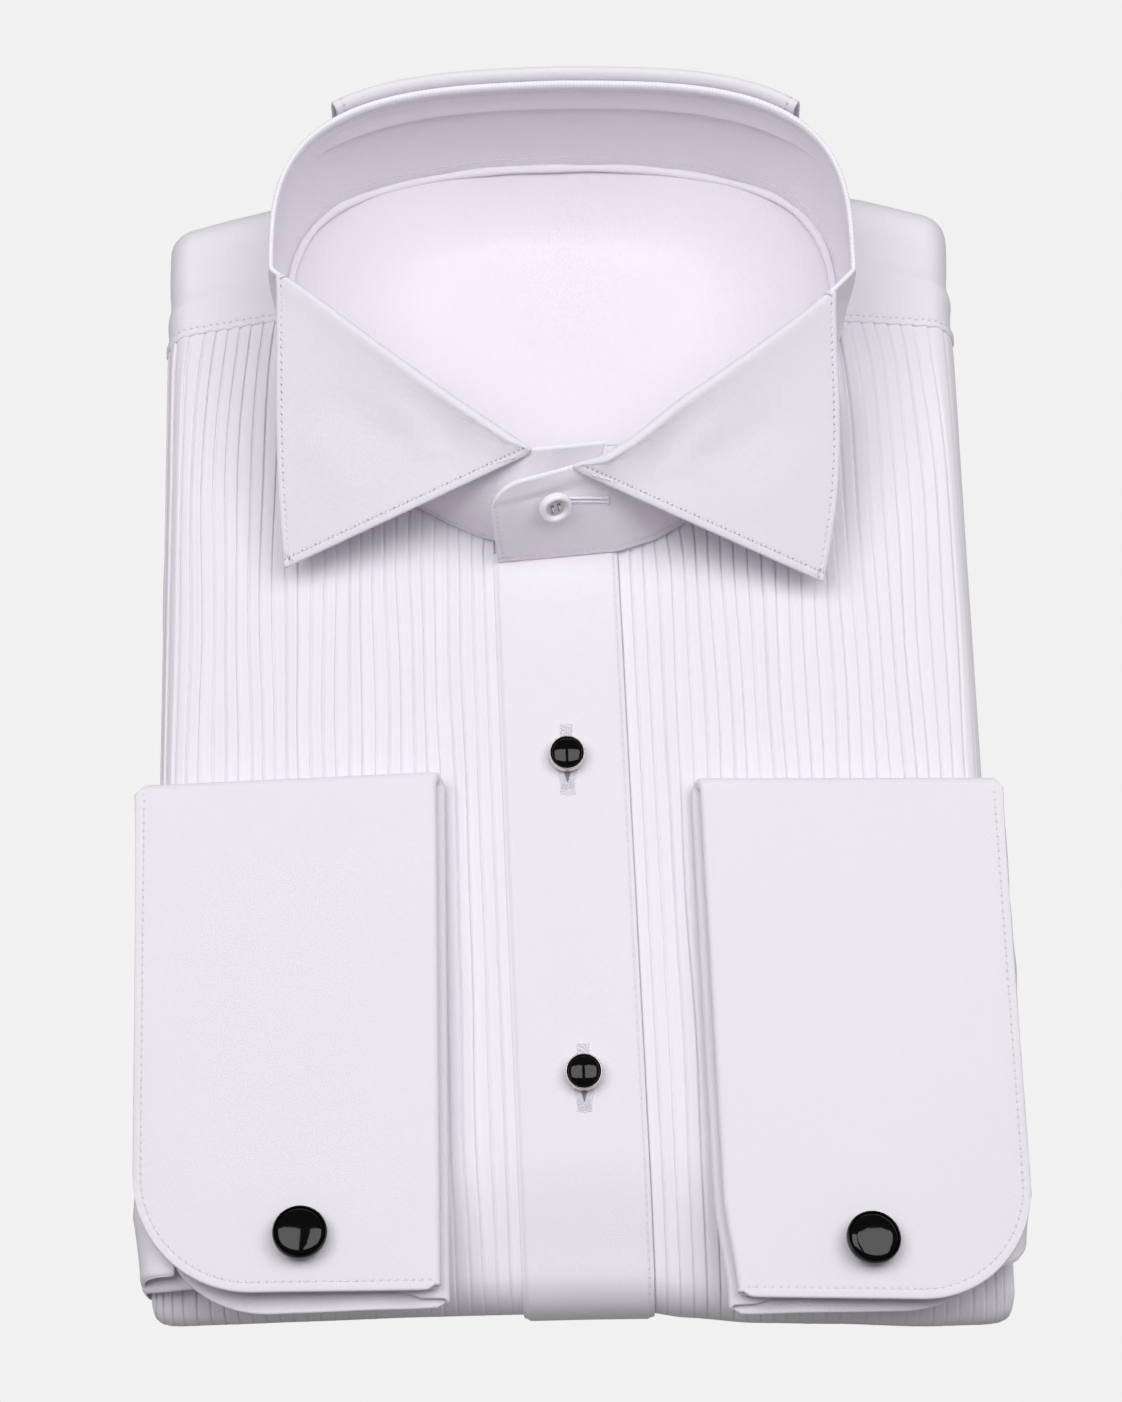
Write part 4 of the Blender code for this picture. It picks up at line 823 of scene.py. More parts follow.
def makeYoke():
    # Columns from one side seam round behind the neck to the other, each straight in u and v from the yoke seam
    # to the far end. It laps over the pleats, and creases lie on it.
    arc = neckSeam(np.linspace(0.5, 0.252, 56))
    sideU = -np.linspace(neck["half"] + 0.4, uEnd, 90)
    nearU = np.concatenate([arc[:, 0], sideU])
    nearV = np.concatenate([arc[:, 1], yokeSeam(sideU)])
    beyond = 84.0 + (np.abs(sideU) - neck["half"]) * (uEnd - 84.0) / (uEnd - neck["half"])
    farU = np.concatenate([arc[:, 0] * 84.0 / neck["half"], -beyond])
    onSide = np.concatenate([np.zeros(len(arc)), np.ones(len(sideU))])
    nearU, farU = [np.concatenate([line[:0:-1], -line]) for line in (nearU, farU)]
    nearU, farU = -nearU[::-1], -farU[::-1]
    nearV = np.concatenate([nearV[:0:-1], nearV])
    onSide = np.concatenate([onSide[:0:-1], onSide])
    nearV = np.where(onSide > 0.5, yokeSeam(nearU) - yokeLook["lap"], nearV)
    # the folds under it scallop its edge
    pitch = (uEnd - placketSize["half"]) / 27.0
    tooth = np.mod(nearU / pitch + 0.35, 1.0)
    scallop = 0.45 * mix(tooth, 1.0, smooth((0.10 - tooth) / 0.10)) * onSide
    nearV = nearV + scallop * smooth((np.abs(nearU) - 80.0) / 4.0)
    farV = farEdge(skin(farU, 300.0)[..., 0]) - packet["endRoll"] + packet["rollArc"]
    t = np.concatenate([[0.0, 0.004, 0.01, 0.018, 0.028, 0.042], np.linspace(0.06, 1.0, 52)])[:, None]
    u, v = mix(nearU, farU, smooth(t)), mix(nearV, farV, t)
    x, y = skin(u, v)[..., 0], skin(u, v)[..., 1]
    fromEdge = v - nearV
    over = yokeLook["lapRise"] * onSide * (1.0 - smooth((fromEdge - 1.0) / 2.6))
    relief = yokeLook["cloth"] + creases(x, y, yokeLook["creases"]) + over
    outer = lifted(u, v, relief)
    inner = lifted(u, v, over * 0.9 + 0.1 * onSide * (1.0 - smooth(fromEdge / 4.0)))
    seam = np.stack([u / stitch["pitch"], np.where(onSide > 0.5, fromEdge - 1.5, farFromSeam)], -1)
    piece = closedSheet("yokeCloth", outer, inner, np.stack([u, v], -1), bodyCotton, seam)
    normals = gridNormals(outer)
    row = 4        # the row 1.5 mm or so from its edge
    lines = [(outer[row, part], normals[row, part]) for part in (slice(2, 88), slice(-88, -2))]
    stitches = putStitches("yokeStitches", lines, dict(stitch, height=0.08, width=0.22))
    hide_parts("yoke")
    return piece


makeYoke()
print("yoke done")


# what shows in the neck opening: the inner yoke, and below its seam the back with its box pleat
inside = {
    "roll": 1.05, "rollIn": 1.7, "rollUp": 1.95, "rollEnds": (0.145, 0.855), "rollSides": 16,
    "depth": 10.0, "slope": 0.45, "slot": 0.6,       # how far it sinks, over what share of the way in
    "seamY": 250.0, "pleatHalf": 12.0, "pleatRise": 0.8, "cloth": 1.1,
    "creases": (
        (-66.0, 300.0, -58.0, 322.0, 5.0, 0.5),
        (64.0, 292.0, 60.0, 316.0, 6.0, 0.5),
        (-30.0, 330.0, 25.0, 331.0, 5.0, -0.35),
    ),
}


def basin(x, y):
    # the back's inside: below the neck seam by a depth that eases in from the seam
    behind = y > neck["y"]
    reach = np.where(behind, neck["back"], neck["front"])
    power = np.where(behind, neck["powers"][0], neck["powers"][1])
    share = ((np.abs(x) / neck["half"]) ** power + (np.abs(y - neck["y"]) / reach) ** power) ** (1.0 / power)
    front = smooth((neck["y"] - 12.0 - y) / 30.0)
    ease = smooth((1.0 - share) / inside["slope"])
    depth = inside["depth"] * ease + front * inside["slot"] * (1.0 - ease)
    return skin(x, y)[..., 2] + 1.0 - depth + creases(x, y, inside["creases"]) * ease


def basinSheet(name, near, far, rows, relief):
    # a sheet in the basin, straight in plan from its near line to its far one
    plan = mix(near, far, rows[:, None, None])
    height = basin(plan[..., 0], plan[..., 1])
    outer = np.concatenate([plan, (height + relief)[..., None]], -1)
    inner = np.concatenate([plan, (height - inside["cloth"])[..., None]], -1)
    return closedSheet(name, outer, inner, plan, shadedLiningCotton)


def makeInside():
    # both sheets end on the neck seam, and meet along a straight seam across it
    middle = np.array([0.0, neck["y"]])
    shares = np.linspace(0.08, 0.25, 400)
    corner = np.interp(inside["seamY"], mix(middle, neckSeam(shares), 0.99)[:, 1], shares)
    back = mix(middle, neckSeam(np.linspace(corner + 0.004, 0.996 - corner, 121)), 0.99)
    width = -mix(middle, neckSeam(np.array([corner])), 0.99)[0, 0]
    seam = np.stack([np.linspace(-1.0, 1.0, 121) * width, np.full(121, inside["seamY"])], -1)
    rows = np.sin(np.linspace(0.0, math.pi / 2.0, 44))
    lip = 0.5 * (1.0 - smooth(rows / 0.03))[:, None]
    lining = basinSheet("yokeLining", seam, back, rows, np.broadcast_to(lip, (44, 121)))
    front = mix(middle, neckSeam(np.linspace(corner - 0.004, 0.004 - corner, 121)), 0.99)
    low = np.stack([np.linspace(-width, width, 121) * 0.997, np.full(121, inside["seamY"] - packet["gap"])], -1)
    rows = np.sin(np.linspace(0.0, math.pi / 2.0, 30))
    fold = smooth((inside["pleatHalf"] - np.abs(low[:, 0])) / 1.0) * inside["pleatRise"]
    fold = fold - 0.5 * hump(low[:, 0] / 0.5)
    panel = basinSheet("backPanel", front, low, rows, mix(0.2, 1.0, rows)[:, None] * fold[None, :] - 0.2)
    roll = makeNeckRoll()
    for piece, node, flat, area, others in ((lining, "yoke_lining", (0.152, 0.086), 0.0118, [roll]),
                                            (panel, "back_panel", (0.14, 0.039), 0.0041, [])):
        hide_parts(node)


def roundEnds(distance, least=0.0):
    # a quarter circle from least at a distance of 0 up to 1 at a distance of 1
    return np.sqrt(np.clip(1.0 - (1.0 - np.clip(distance, 0.0, 1.0)) ** 2, least, 1.0))


def putRoll(name, path, across, upwards, sides):
    # a swept roll of cloth, its flat cloth measured along the path and round it
    points, faceSets = sweptParts(path, across, upwards, sides)
    along = lengths(path)
    run = np.concatenate([along[[0, -1]], np.repeat(along, sides)])
    turn = np.concatenate([[0.0, 0.0], np.tile(np.arange(sides) * 0.4, len(path))])
    flat = np.stack([run, turn], -1) * 0.001
    piece = putMesh(name, points, faceSets, bodyCotton, {"cloth": flat, "seam": noSeam(len(flat))})
    return piece


def makeNeckRoll():
    # the neck seam's turned edges, rolled into the corner between the lining and the band
    first, last = inside["rollEnds"]
    share = np.linspace(first, last, 260)
    seam = neckSeam(share)
    inward = unit(np.stack([np.gradient(seam[:, 1]), -np.gradient(seam[:, 0])], -1))
    plan = seam + facing(inward, np.array([0.0, neck["y"]]) - seam) * inside["rollIn"]
    ends = roundEnds(np.minimum(share - first, last - share) / 0.02)
    size = (inside["roll"] + 0.08 * np.sin(share * 130.0) + 0.06 * np.sin(share * 57.0)) * mix(0.15, 1.0, ends)
    height = skin(seam[:, 0], seam[:, 1])[:, 2] + inside["rollUp"]
    path = np.concatenate([plan, height[:, None]], -1)
    return putRoll("neckRoll", path, size * 1.15, size, inside["rollSides"])


makeInside()
print("inside of the neck done")


bandLook = {
    "columns": 330,
    # closer columns at its two ends, in mm from each
    "underColumns": np.array([0.0, 0.4, 1.2, 2.4]),
    "overColumns": np.array([9.0, 8.0, 6.6, 5.2, 4.0, 3.0, 2.2, 1.7, 1.2, 0.8, 0.4, 0.15, 0.0]),
    # rows as shares of its height, closer at its edges and at the ridge
    "rows": np.concatenate([[0.0, 0.01, 0.022, 0.036, 0.05, 0.065, 0.085], np.linspace(0.12, 0.66, 14),
                            [0.68, 0.695, 0.704, 0.712, 0.720, 0.730, 0.745, 0.77, 0.81, 0.85, 0.88],
                            [0.905, 0.92, 0.935, 0.95, 0.965, 0.98, 0.99, 1.0]]),
    "ridgeAt": 0.705, "ridge": 1.1, "ridgeEnds": (0.335, 0.672),
    "topSeam": 3.0, "footSeam": 1.5, "innerFootSeam": 3.4, "endSeam": 1.4,
    "creases": (
        # share, up, share, up, width, height, on the outside of the lapped end
        (0.955, 0.97, 1.012, 0.83, 0.035, 0.5),
        (0.955, 0.90, 1.008, 0.78, 0.04, -0.4),
    ),
}


def seamLine(face, outward, distance, target, part):
    # the points of a face where a distance takes a value, found column by column on its rows, and their normals
    place = np.argmin(np.abs(distance - target), axis=0)
    columns = np.arange(face.shape[1])
    return face[place, columns][part], outward[place, columns][part]


def makeBand():
    # Straight walls from the neck seam to the top edge, round from the end below to the lapped one, whose
    # corner is round. Grooves along its seams, and a ridge inside, are added along its normals.
    loop = collar["loop"]
    under = collar["endShare"] - collar["underLength"] / loop
    over = 1.0 - collar["endShare"] + collar["overLength"] / loop
    shares = np.concatenate([under + bandLook["underColumns"] / loop,
                             np.linspace(under + 4.0 / loop, over - 10.0 / loop, bandLook["columns"]),
                             over - bandLook["overColumns"] / loop])
    fromEnd = (over - shares) * loop
    short = np.clip(1.0 - fromEnd / collar["endCorner"], 0.0, 1.0)
    cut = collar["endCorner"] * (1.0 - np.sqrt(1.0 - short**2)) / 30.0
    up = bandLook["rows"][:, None] * (1.0 - cut)[None, :]
    share = np.broadcast_to(shares[None, :], up.shape)
    middle = bandPoint(share, up)
    outside = middle - np.array([0.0, neck["y"], 0.0])
    outside[..., 2] = 0.0
    normal = facing(gridNormals(middle), outside)
    high = np.linalg.norm(bandTop(shares) - bandFoot(shares), axis=-1) * (1.0 - cut)
    fromFoot = bandLook["rows"][:, None] * high[None, :]
    fromTop = high[None, :] - fromFoot
    endGap = np.minimum(fromEnd[None, :] + 0.0 * fromTop, 60.0)
    half = collar["wall"] / 2.0
    # outside: grooves along the foot and the lapped end
    footDip = 0.10 * hump((fromFoot - bandLook["footSeam"]) / 0.45)
    endDip = 0.10 * hump((endGap - bandLook["endSeam"]) / 0.45)
    outer = half - footDip - endDip + creases(share, up, bandLook["creases"])
    # inside: the cloth is doubled above a ridge, which fades towards the sides
    a, b = bandLook["ridgeEnds"]
    ridge = smooth((share - a) / 0.04) * smooth((b - share) / 0.04) * smooth((up - bandLook["ridgeAt"]) / 0.016)
    ridge = ridge * (1.0 - 0.62 * smooth((up - bandLook["ridgeAt"] - 0.016) / 0.12))
    inner = half + bandLook["ridge"] * ridge - 0.12 * hump((fromTop - bandLook["topSeam"]) / 0.5)
    inner = inner + 0.35 * hump((fromTop - 0.7) / 0.9)
    inner = inner - 0.10 * hump((fromFoot - bandLook["innerFootSeam"]) / 0.6)
    upper = middle + normal * outer[..., None]
    lower = middle - normal * inner[..., None]
    arc = shares * loop
    fromEndSeam = np.abs(endGap - bandLook["endSeam"])
    fromLine = np.minimum(np.abs(fromFoot - bandLook["footSeam"]), fromEndSeam + farFromSeam * (fromFoot < 2.0))
    along = np.where(fromEndSeam < 1.0, fromFoot, arc[None, :] + 0.0 * fromFoot)
    seam = np.stack([along / stitch["pitch"], fromLine], -1)
    cloth = np.stack([np.broadcast_to(arc, up.shape), fromFoot], -1)
    piece = closedSheet("collarBand", upper, lower, cloth, litBandCotton, seam)
    sideOut = facing(gridNormals(upper), normal)
    sideIn = -facing(gridNormals(lower), normal)
    foot = slice(4, -8)
    end = len(shares) - 1 - int(np.argmin(np.abs(fromEnd[::-1] - bandLook["endSeam"])))
    lines = [
        seamLine(upper, sideOut, fromFoot, bandLook["footSeam"], foot),
        seamLine(lower, sideIn, fromTop, bandLook["topSeam"], slice(40, -60)),
        seamLine(lower, sideIn, fromFoot, bandLook["innerFootSeam"], foot),
        (upper[4:-3, end], sideOut[4:-3, end]),
    ]
    stitches = putStitches("bandStitches", lines)
    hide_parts("collar_band")
    return piece


makeBand()
print("band done")


# the collar's front corners, folded out
wingLook = {
    "tips": {"left": (70.0, 199.0, 34.0), "right": (-78.1, 206.3, 34.0)},
    "fold": {"left": (0.775, 0.988), "right": (0.237, 0.030)},      # shares of the band's top edge
    "width": 118.0, "lowLength": 113.0,
    "roll": 2.0, "rollTurn": math.radians(115.0), "rollLift": 0.7, "endWidth": 0.8,
    "puff": 0.6, "sag": 2.2, "bow": {"left": 3.0, "right": -1.2},
    "wall": 1.2, "seamAt": 1.9, "groove": 0.14, "welt": 0.10, "pitch": 2.05,
    # rows and columns beside its edges, in mm
    "edgeSteps": np.array([0.0, 0.2, 0.5, 0.9, 1.3, 1.6, 1.9, 2.2, 2.6, 3.2, 4.2, 5.6]),
    "dents": (
        # share down, share across, share down, share across, width, height
        (0.35, 0.25, 0.55, 0.5, 0.10, -0.35),
        (0.55, 0.15, 0.8, 0.3, 0.08, 0.25),
        (0.25, 0.5, 0.6, 0.62, 0.08, 0.3),
    ),
}


def makeWing(side):
    # A corner of cloth that rolls over the band's top edge on part of a circle, and falls straight to its lower
    # edge, with a sag, a puff and a bow of sine waves.
    first, last = wingLook["fold"][side]
    width = wingLook["width"]
    across = np.concatenate([wingLook["edgeSteps"] / width, np.linspace(8.0 / width, 1.0, 74)])
    share = mix(first, last, across)
    top = bandTop(share)
    out = top - np.array([0.0, collar["topY"], 0.0])
    out[:, 2] = 0.0
    out = unit(out)
    up = np.array([0.0, 0.0, 1.0])
    end = top[-1] + out[-1] * wingLook["endWidth"] + up * (1.0 - wingLook["endWidth"])
    edge = mix(np.array(wingLook["tips"][side]), end, across[:, None])
    roll = np.minimum(wingLook["roll"], 0.3 * np.linalg.norm(edge - top, axis=-1))[:, None]
    start = top + up * wingLook["rollLift"]
    turn = np.linspace(0.0, 1.0, 7)[:, None, None] * wingLook["rollTurn"]
    crest = start + up * (0.2 + roll * np.sin(turn) * 0.55) + out * roll * 0.62 * (1.0 - np.cos(turn))
    over = crest[-1]
    long = np.linalg.norm(edge - over, axis=-1)
    near = wingLook["edgeSteps"][::-1, None] * np.minimum(1.0, long / 14.0)
    far = np.maximum(long - 8.0 * np.minimum(1.0, long / 14.0), 0.25 * long)
    down = np.concatenate([mix(0.0, far, np.linspace(0.04, 1.0, 40)[:, None]), long - near]) / long
    puff = wingLook["puff"] * np.sin(math.pi * down) * np.sin(math.pi * (0.15 + 0.7 * (1.0 - across)))
    # it falls steeply from the fold, and lies flatter towards its lower edge
    sag = wingLook["sag"] * np.sin(math.pi * down ** 0.85) * smooth((long - 4.0) / 24.0)
    puff = puff * (1.0 - across) - sag
    sheet = mix(over, edge, down[..., None]) + up * puff[..., None]
    sheet[..., 0] += wingLook["bow"][side] * np.sin(math.pi * down**1.3) * (1.0 - across) ** 3
    middle = np.concatenate([crest, sheet])
    normal = gridNormals(middle)
    normal = normal * np.sign(normal[30:, :, 2].mean())
    fromLow = np.concatenate([np.full((len(crest), len(across)), 60.0), (1.0 - down) * long])
    fromSide = np.broadcast_to(across * width, fromLow.shape)
    onSheet = np.concatenate([np.zeros(len(crest)), np.ones(len(sheet))])[:, None]

    def besideEdges(at):
        # a small bell along a line beside the lower and the front edge
        return np.maximum(hump((fromLow - at) / 0.5), hump((fromSide - at) / 0.5) * onSheet)

    downAll = np.concatenate([np.zeros((len(crest), len(across))), down])
    dents = creases(downAll, across[None, :] + 0.0 * downAll, wingLook["dents"]) * onSheet
    dents = dents * smooth((1.0 - down.max() + 1.0 - downAll) / 0.2)
    half = wingLook["wall"] / 2.0
    edges = wingLook["welt"] * besideEdges(0.9) - wingLook["groove"] * besideEdges(wingLook["seamAt"])
    upper = middle + normal * (half + edges + dents)[..., None]
    lower = middle - normal * half
    alongLow = np.broadcast_to(across * wingLook["lowLength"], fromLow.shape)
    alongSide = np.concatenate([np.zeros((len(crest), len(across))), down * long])
    seam = closerSeam(alongLow, fromLow, alongSide, fromSide, wingLook["seamAt"], wingLook["pitch"])
    piece = closedSheet("wing" + side.capitalize(), upper, lower, flatCloth(middle), stiffCotton, seam)
    column = int(np.argmin(np.abs(across * width - wingLook["seamAt"])))
    row = len(middle) - 1 - int(np.argmin(np.abs(wingLook["edgeSteps"] - wingLook["seamAt"])))
    faceUp = gridNormals(upper) * np.sign(gridNormals(upper)[30:, :, 2].mean())
    size = dict(stitch, pitch=wingLook["pitch"], share=0.60, height=0.30, width=0.52)
    stitches = putStitches("wingStitches" + side.capitalize(), [
        (upper[len(crest):row + 1, column], faceUp[len(crest):row + 1, column]),
        (upper[row, column:-3], faceUp[row, column:-3]),
    ], size)
    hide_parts("wing_" + side)
    return piece


for side in ("left", "right"):
    makeWing(side)
print("wings done")


# a short strip turned over the band behind the neck
fallLook = {
    "ends": (0.368, 0.641), "length": 125.58,        # shares of the band's top edge, and mm
    "endSteps": np.array([0.0, 0.3, 0.8, 1.4, 1.9, 2.4, 3.2]),
    "section": (
        # out from the band, up from its top edge
        (1.5, -6.0), (1.55, -3.0), (1.6, -0.8), (1.9, 0.6), (2.5, 1.4), (3.3, 1.65), (4.1, 1.25), (4.7, 0.2),
        (5.1, -2.0), (5.4, -7.0), (5.7, -13.0), (6.1, -19.0), (6.3, -23.0), (6.35, -24.2), (6.4, -25.0),
    ),
    "wave": 0.25, "wall": 1.05, "seamAt": 1.9, "groove": 0.12,
}


def makeFall():
    # one section carried along the band's top edge, square to it, with a slow wave in its lower part
    length = fallLook["length"]
    ends = fallLook["endSteps"] / length
    t = np.concatenate([ends, np.linspace(0.04, 0.96, 110), 1.0 - ends[::-1]])
    share = mix(fallLook["ends"][0], fallLook["ends"][1], t)
    top = bandTop(share)
    along = np.gradient(top[:, :2], axis=0)
    out = unit(np.stack([along[:, 1], -along[:, 0]], -1))
    out = out * np.sign(out[len(out) // 2, 1])
    reach, rise = np.array(fallLook["section"]).T
    plan = top[None, :, :2] + out[None] * reach[:, None, None]
    wave = fallLook["wave"] * np.sin(share * 61.0)[None, :] * smooth((-rise - 4.0) / 16.0)[:, None]
    plan = plan + out[None] * wave[..., None]
    middle = np.concatenate([plan, (top[None, :, 2] + rise[:, None])[..., None]], -1)
    normal = gridNormals(middle)
    normal = normal * np.sign(np.sum(normal[-6, :, :2] * out, -1).mean())
    down = lengths(np.stack([reach, rise], -1))
    fromLow = (down[-1] - down)[:, None] + 0.0 * share[None, :]
    fromEnd = np.broadcast_to(np.minimum(t, 1.0 - t) * length, fromLow.shape)
    groove = np.maximum(hump((fromLow - fallLook["seamAt"]) / 0.6), hump((fromEnd - fallLook["seamAt"]) / 0.5))
    half = fallLook["wall"] / 2.0
    upper = middle + normal * (half - fallLook["groove"] * groove)[..., None]
    lower = middle - normal * half
    arc = np.broadcast_to(t * length, fromLow.shape)
    seam = closerSeam(arc, fromLow, fromLow, fromEnd, fallLook["seamAt"], stitch["pitch"])
    piece = closedSheet("collarFall", upper, lower, flatCloth(middle), stiffCotton, seam)
    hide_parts("collar_fall")
    row = int(np.argmin(np.abs(fromLow[:, 0] - fallLook["seamAt"])))
    face = gridNormals(upper) * np.sign(np.sum(gridNormals(upper)[-6, :, :2] * out, -1).mean())
    stitches = putStitches("fallStitches", [
        (upper[row, 4:-4], face[row, 4:-4]),
        (upper[2:row, 4], face[2:row, 4]),
        (upper[2:row, -5], face[2:row, -5]),
    ])
    return piece


makeFall()
print("fall done")


# each cuff is folded back on itself: an outer and an inner layer above, and both again below
cuffSize = {
    "inner": 1.3, "outer": 3.2,            # height of a layer over the cuff's middle
    "corner": 31.0, "lowerCorner": 0.78, "foldCorner": 1.3,
    "wall": 1.15, "seamAt": 2.0, "pitch": 2.1, "groove": 0.10, "welt": 0.08,
    "lowerShift": 2.2, "bend": 2.4,
    # columns and rows beside its edges, in mm
    "edgeSteps": np.array([0.0, 0.2, 0.5, 0.9, 1.3, 1.65, 2.0, 2.35, 2.8, 3.5, 4.4, 5.5, 7.0]),
}
cuffs = {
    # x and y of its edges, each at the near end and the far one, or at the free edge and the fold
    "left": {"side": 1.0, "foldX": (38.2, 35.6), "freeX": (116.6, 115.8), "lowerFreeX": 109.5,
             "nearY": (0.4, -2.0), "innerNearY": 4.8, "lowerNearY": (-2.8, -2.6), "farY": (142.0, 141.0),
             "midZ": (30.6, 28.9)},
    "right": {"side": -1.0, "foldX": (-38.7, -38.6), "freeX": (-116.8, -118.25), "lowerFreeX": -109.5,
              "nearY": (3.9, 4.6), "innerNearY": 9.0, "lowerNearY": (0.5, -0.4), "farY": (145.3, 143.7),
              "midZ": (30.6, 28.9)},
}


def cuffSwell(x, y):
    # the upper face swells a little over what it covers: two sine waves
    return 0.35 * np.sin((x - 38.0) / 24.0) * np.sin(y / 37.0 + 0.5) + 0.2 * np.sin(x / 11.0 + y / 17.0)


def makeCuff(side):
    # Columns run from the free edge across to the fold, round it, and back inside. Rows run from the near end
    # along the upper side, round the far end, and back below. Near corners are quarter circles.
    size = cuffs[side]
    sign = size["side"]
    width = abs(size["freeX"][0] - size["foldX"][0])
    halfStep = (cuffSize["outer"] - cuffSize["inner"]) / 2.0
    middleStep = (cuffSize["outer"] + cuffSize["inner"]) / 2.0
    legs = np.concatenate([cuffSize["edgeSteps"], np.linspace(9.0, width, 40)[:-1]]) / width
    turn = np.linspace(0.0, math.pi, 9)
    back = np.linspace(1.0, 0.145, 12)[1:]
    share = np.concatenate([legs, np.ones(9), back])
    height = np.concatenate([np.full(len(legs), cuffSize["outer"]), middleStep + halfStep * np.cos(turn),
                             np.full(11, cuffSize["inner"])])
    bulge = np.concatenate([np.zeros(len(legs)), halfStep * np.sin(turn), np.zeros(11)])
    inner = np.concatenate([np.zeros(len(legs) + 4), np.linspace(0.0, 1.0, 5), np.ones(11)])
    fromFree = share * width
    corner = np.clip(1.0 - fromFree / cuffSize["corner"], 0.0, 1.0)
    corner = cuffSize["corner"] * (1.0 - np.sqrt(1.0 - corner**2))
    corner = corner + cuffSize["foldCorner"] * smooth((share - 0.965) / 0.035) ** 2 * (1.0 - 0.4 * inner)
    nearUpper = mix(size["nearY"][1], size["nearY"][0], share) + corner
    nearUpper = nearUpper + inner * (size["innerNearY"] - size["nearY"][0]) * (1.0 - share)
    # below, the outer layer reaches furthest, and the inner one comes out only beside the fold
    nearLower = mix(size["lowerNearY"][1], size["lowerNearY"][0], share) + cuffSize["lowerCorner"] * corner
    nearLower = nearLower + inner * (1.4 + 9.0 * smooth((1.0 - share) / 0.4))
    far = mix(size["farY"][1], size["farY"][0], share) - cuffSize["outer"]

    def legPoint(y, rise, lower, along):
        # straight from the free edge to the fold, at a height over the cuff's middle
        free = mix(mix(size["freeX"][0], size["freeX"][1], along), size["lowerFreeX"], lower)
        fold = mix(size["foldX"][0], size["foldX"][1], along) - sign * cuffSize["lowerShift"] * lower
        fold = fold + cuffSize["bend"] * smooth((0.2 - along) / 0.2) * (sign > 0)
        x = mix(free, fold, share) - sign * bulge
        mid = mix(size["midZ"][1], size["midZ"][0], share)
        return np.stack(np.broadcast_arrays(x, y, mid + rise), -1)

    fromNear = np.append(cuffSize["edgeSteps"], 9.0)[:, None]
    total = (far - nearUpper)[None, :]
    upperY = np.concatenate([nearUpper + fromNear * np.minimum(1.0, total / 60.0),
                             mix(nearUpper + 9.0, far, np.linspace(0.0, 1.0, 46)[1:, None])])
    alongUpper = (upperY - size["nearY"][0]) / (far.mean() - size["nearY"][0])
    bend = np.linspace(0.0, math.pi, 10)[1:-1, None]
    turnY = far + height * np.sin(bend)
    lowerY = mix(far, nearLower, np.linspace(0.0, 1.0, 30)[:, None])
    alongLower = (lowerY - size["nearY"][0]) / (far.mean() - size["nearY"][0])
    middle = np.concatenate([
        legPoint(upperY, height, 0.0, np.clip(alongUpper, 0.0, 1.0)),
        legPoint(turnY, height * np.cos(bend), bend / math.pi, 1.0),
        legPoint(lowerY, -height, 1.0, np.clip(alongLower, 0.0, 1.0)),
    ])
    rows = len(middle)
    onUpper = (np.arange(rows) < len(upperY))[:, None] & (inner < 0.5)[None, :]
    x, y = middle[..., 0] * sign, middle[..., 1]
    middle[..., 2] += np.where(onUpper, cuffSwell(x, y) * smooth(fromFree / 12.0), 0.0)
    # the open ends below wave a little
    ended = (np.arange(rows) > len(upperY))[:, None] * (1.0 - smooth((y - nearLower[None, :]) / 22.0))
    middle[..., 2] += ended * (0.35 * np.sin(x / 8.5 + 0.6) + 0.2 * np.sin(x / 3.9)) * smooth((x - 38.0) / 10.0)
    normal = gridNormals(middle)
    normal = normal * np.sign(normal[20:50, 15:45, 2].mean())
    # distance from the edge, and distance along it: up the free edge, round the corner, along the near end
    depth = y - (nearUpper - corner)[None, :]
    radius = cuffSize["corner"]
    aside = fromFree[None, :]
    asideIn, depthIn = radius - np.minimum(aside, radius), radius - np.minimum(depth, radius)
    inCorner = (aside < radius) & (depth < radius)
    fromEdge = np.where(inCorner, radius - np.hypot(asideIn, depthIn), np.minimum(aside, depth))
    angle = np.arctan2(depthIn, asideIn + 1e-6)
    arc = np.where(aside > radius, 46.5 + aside - radius, angle * (radius - 2.0))
    arc = np.where(depth > radius, radius - depth, arc)
    groove = cuffSize["groove"] * hump((fromEdge - cuffSize["seamAt"]) / 0.5) * onUpper
    welt = cuffSize["welt"] * hump((fromEdge - 0.9) / 0.6) * onUpper
    half = cuffSize["wall"] / 2.0
    upper = middle + normal * (half - groove + welt)[..., None]
    lower = middle - normal * half
    fromLine = np.where(onUpper, fromEdge - cuffSize["seamAt"], farFromSeam)
    seam = np.stack([arc / cuffSize["pitch"], fromLine], -1)
    across = lengths(np.stack([fromFree, bulge * 2.0], -1))
    cloth = np.stack([np.broadcast_to(across, y.shape), lengths(middle[:, 40])[:, None] + 0.0 * y], -1)
    piece = closedSheet("cuff" + side.capitalize(), upper, lower, cloth, cuffCotton, seam)
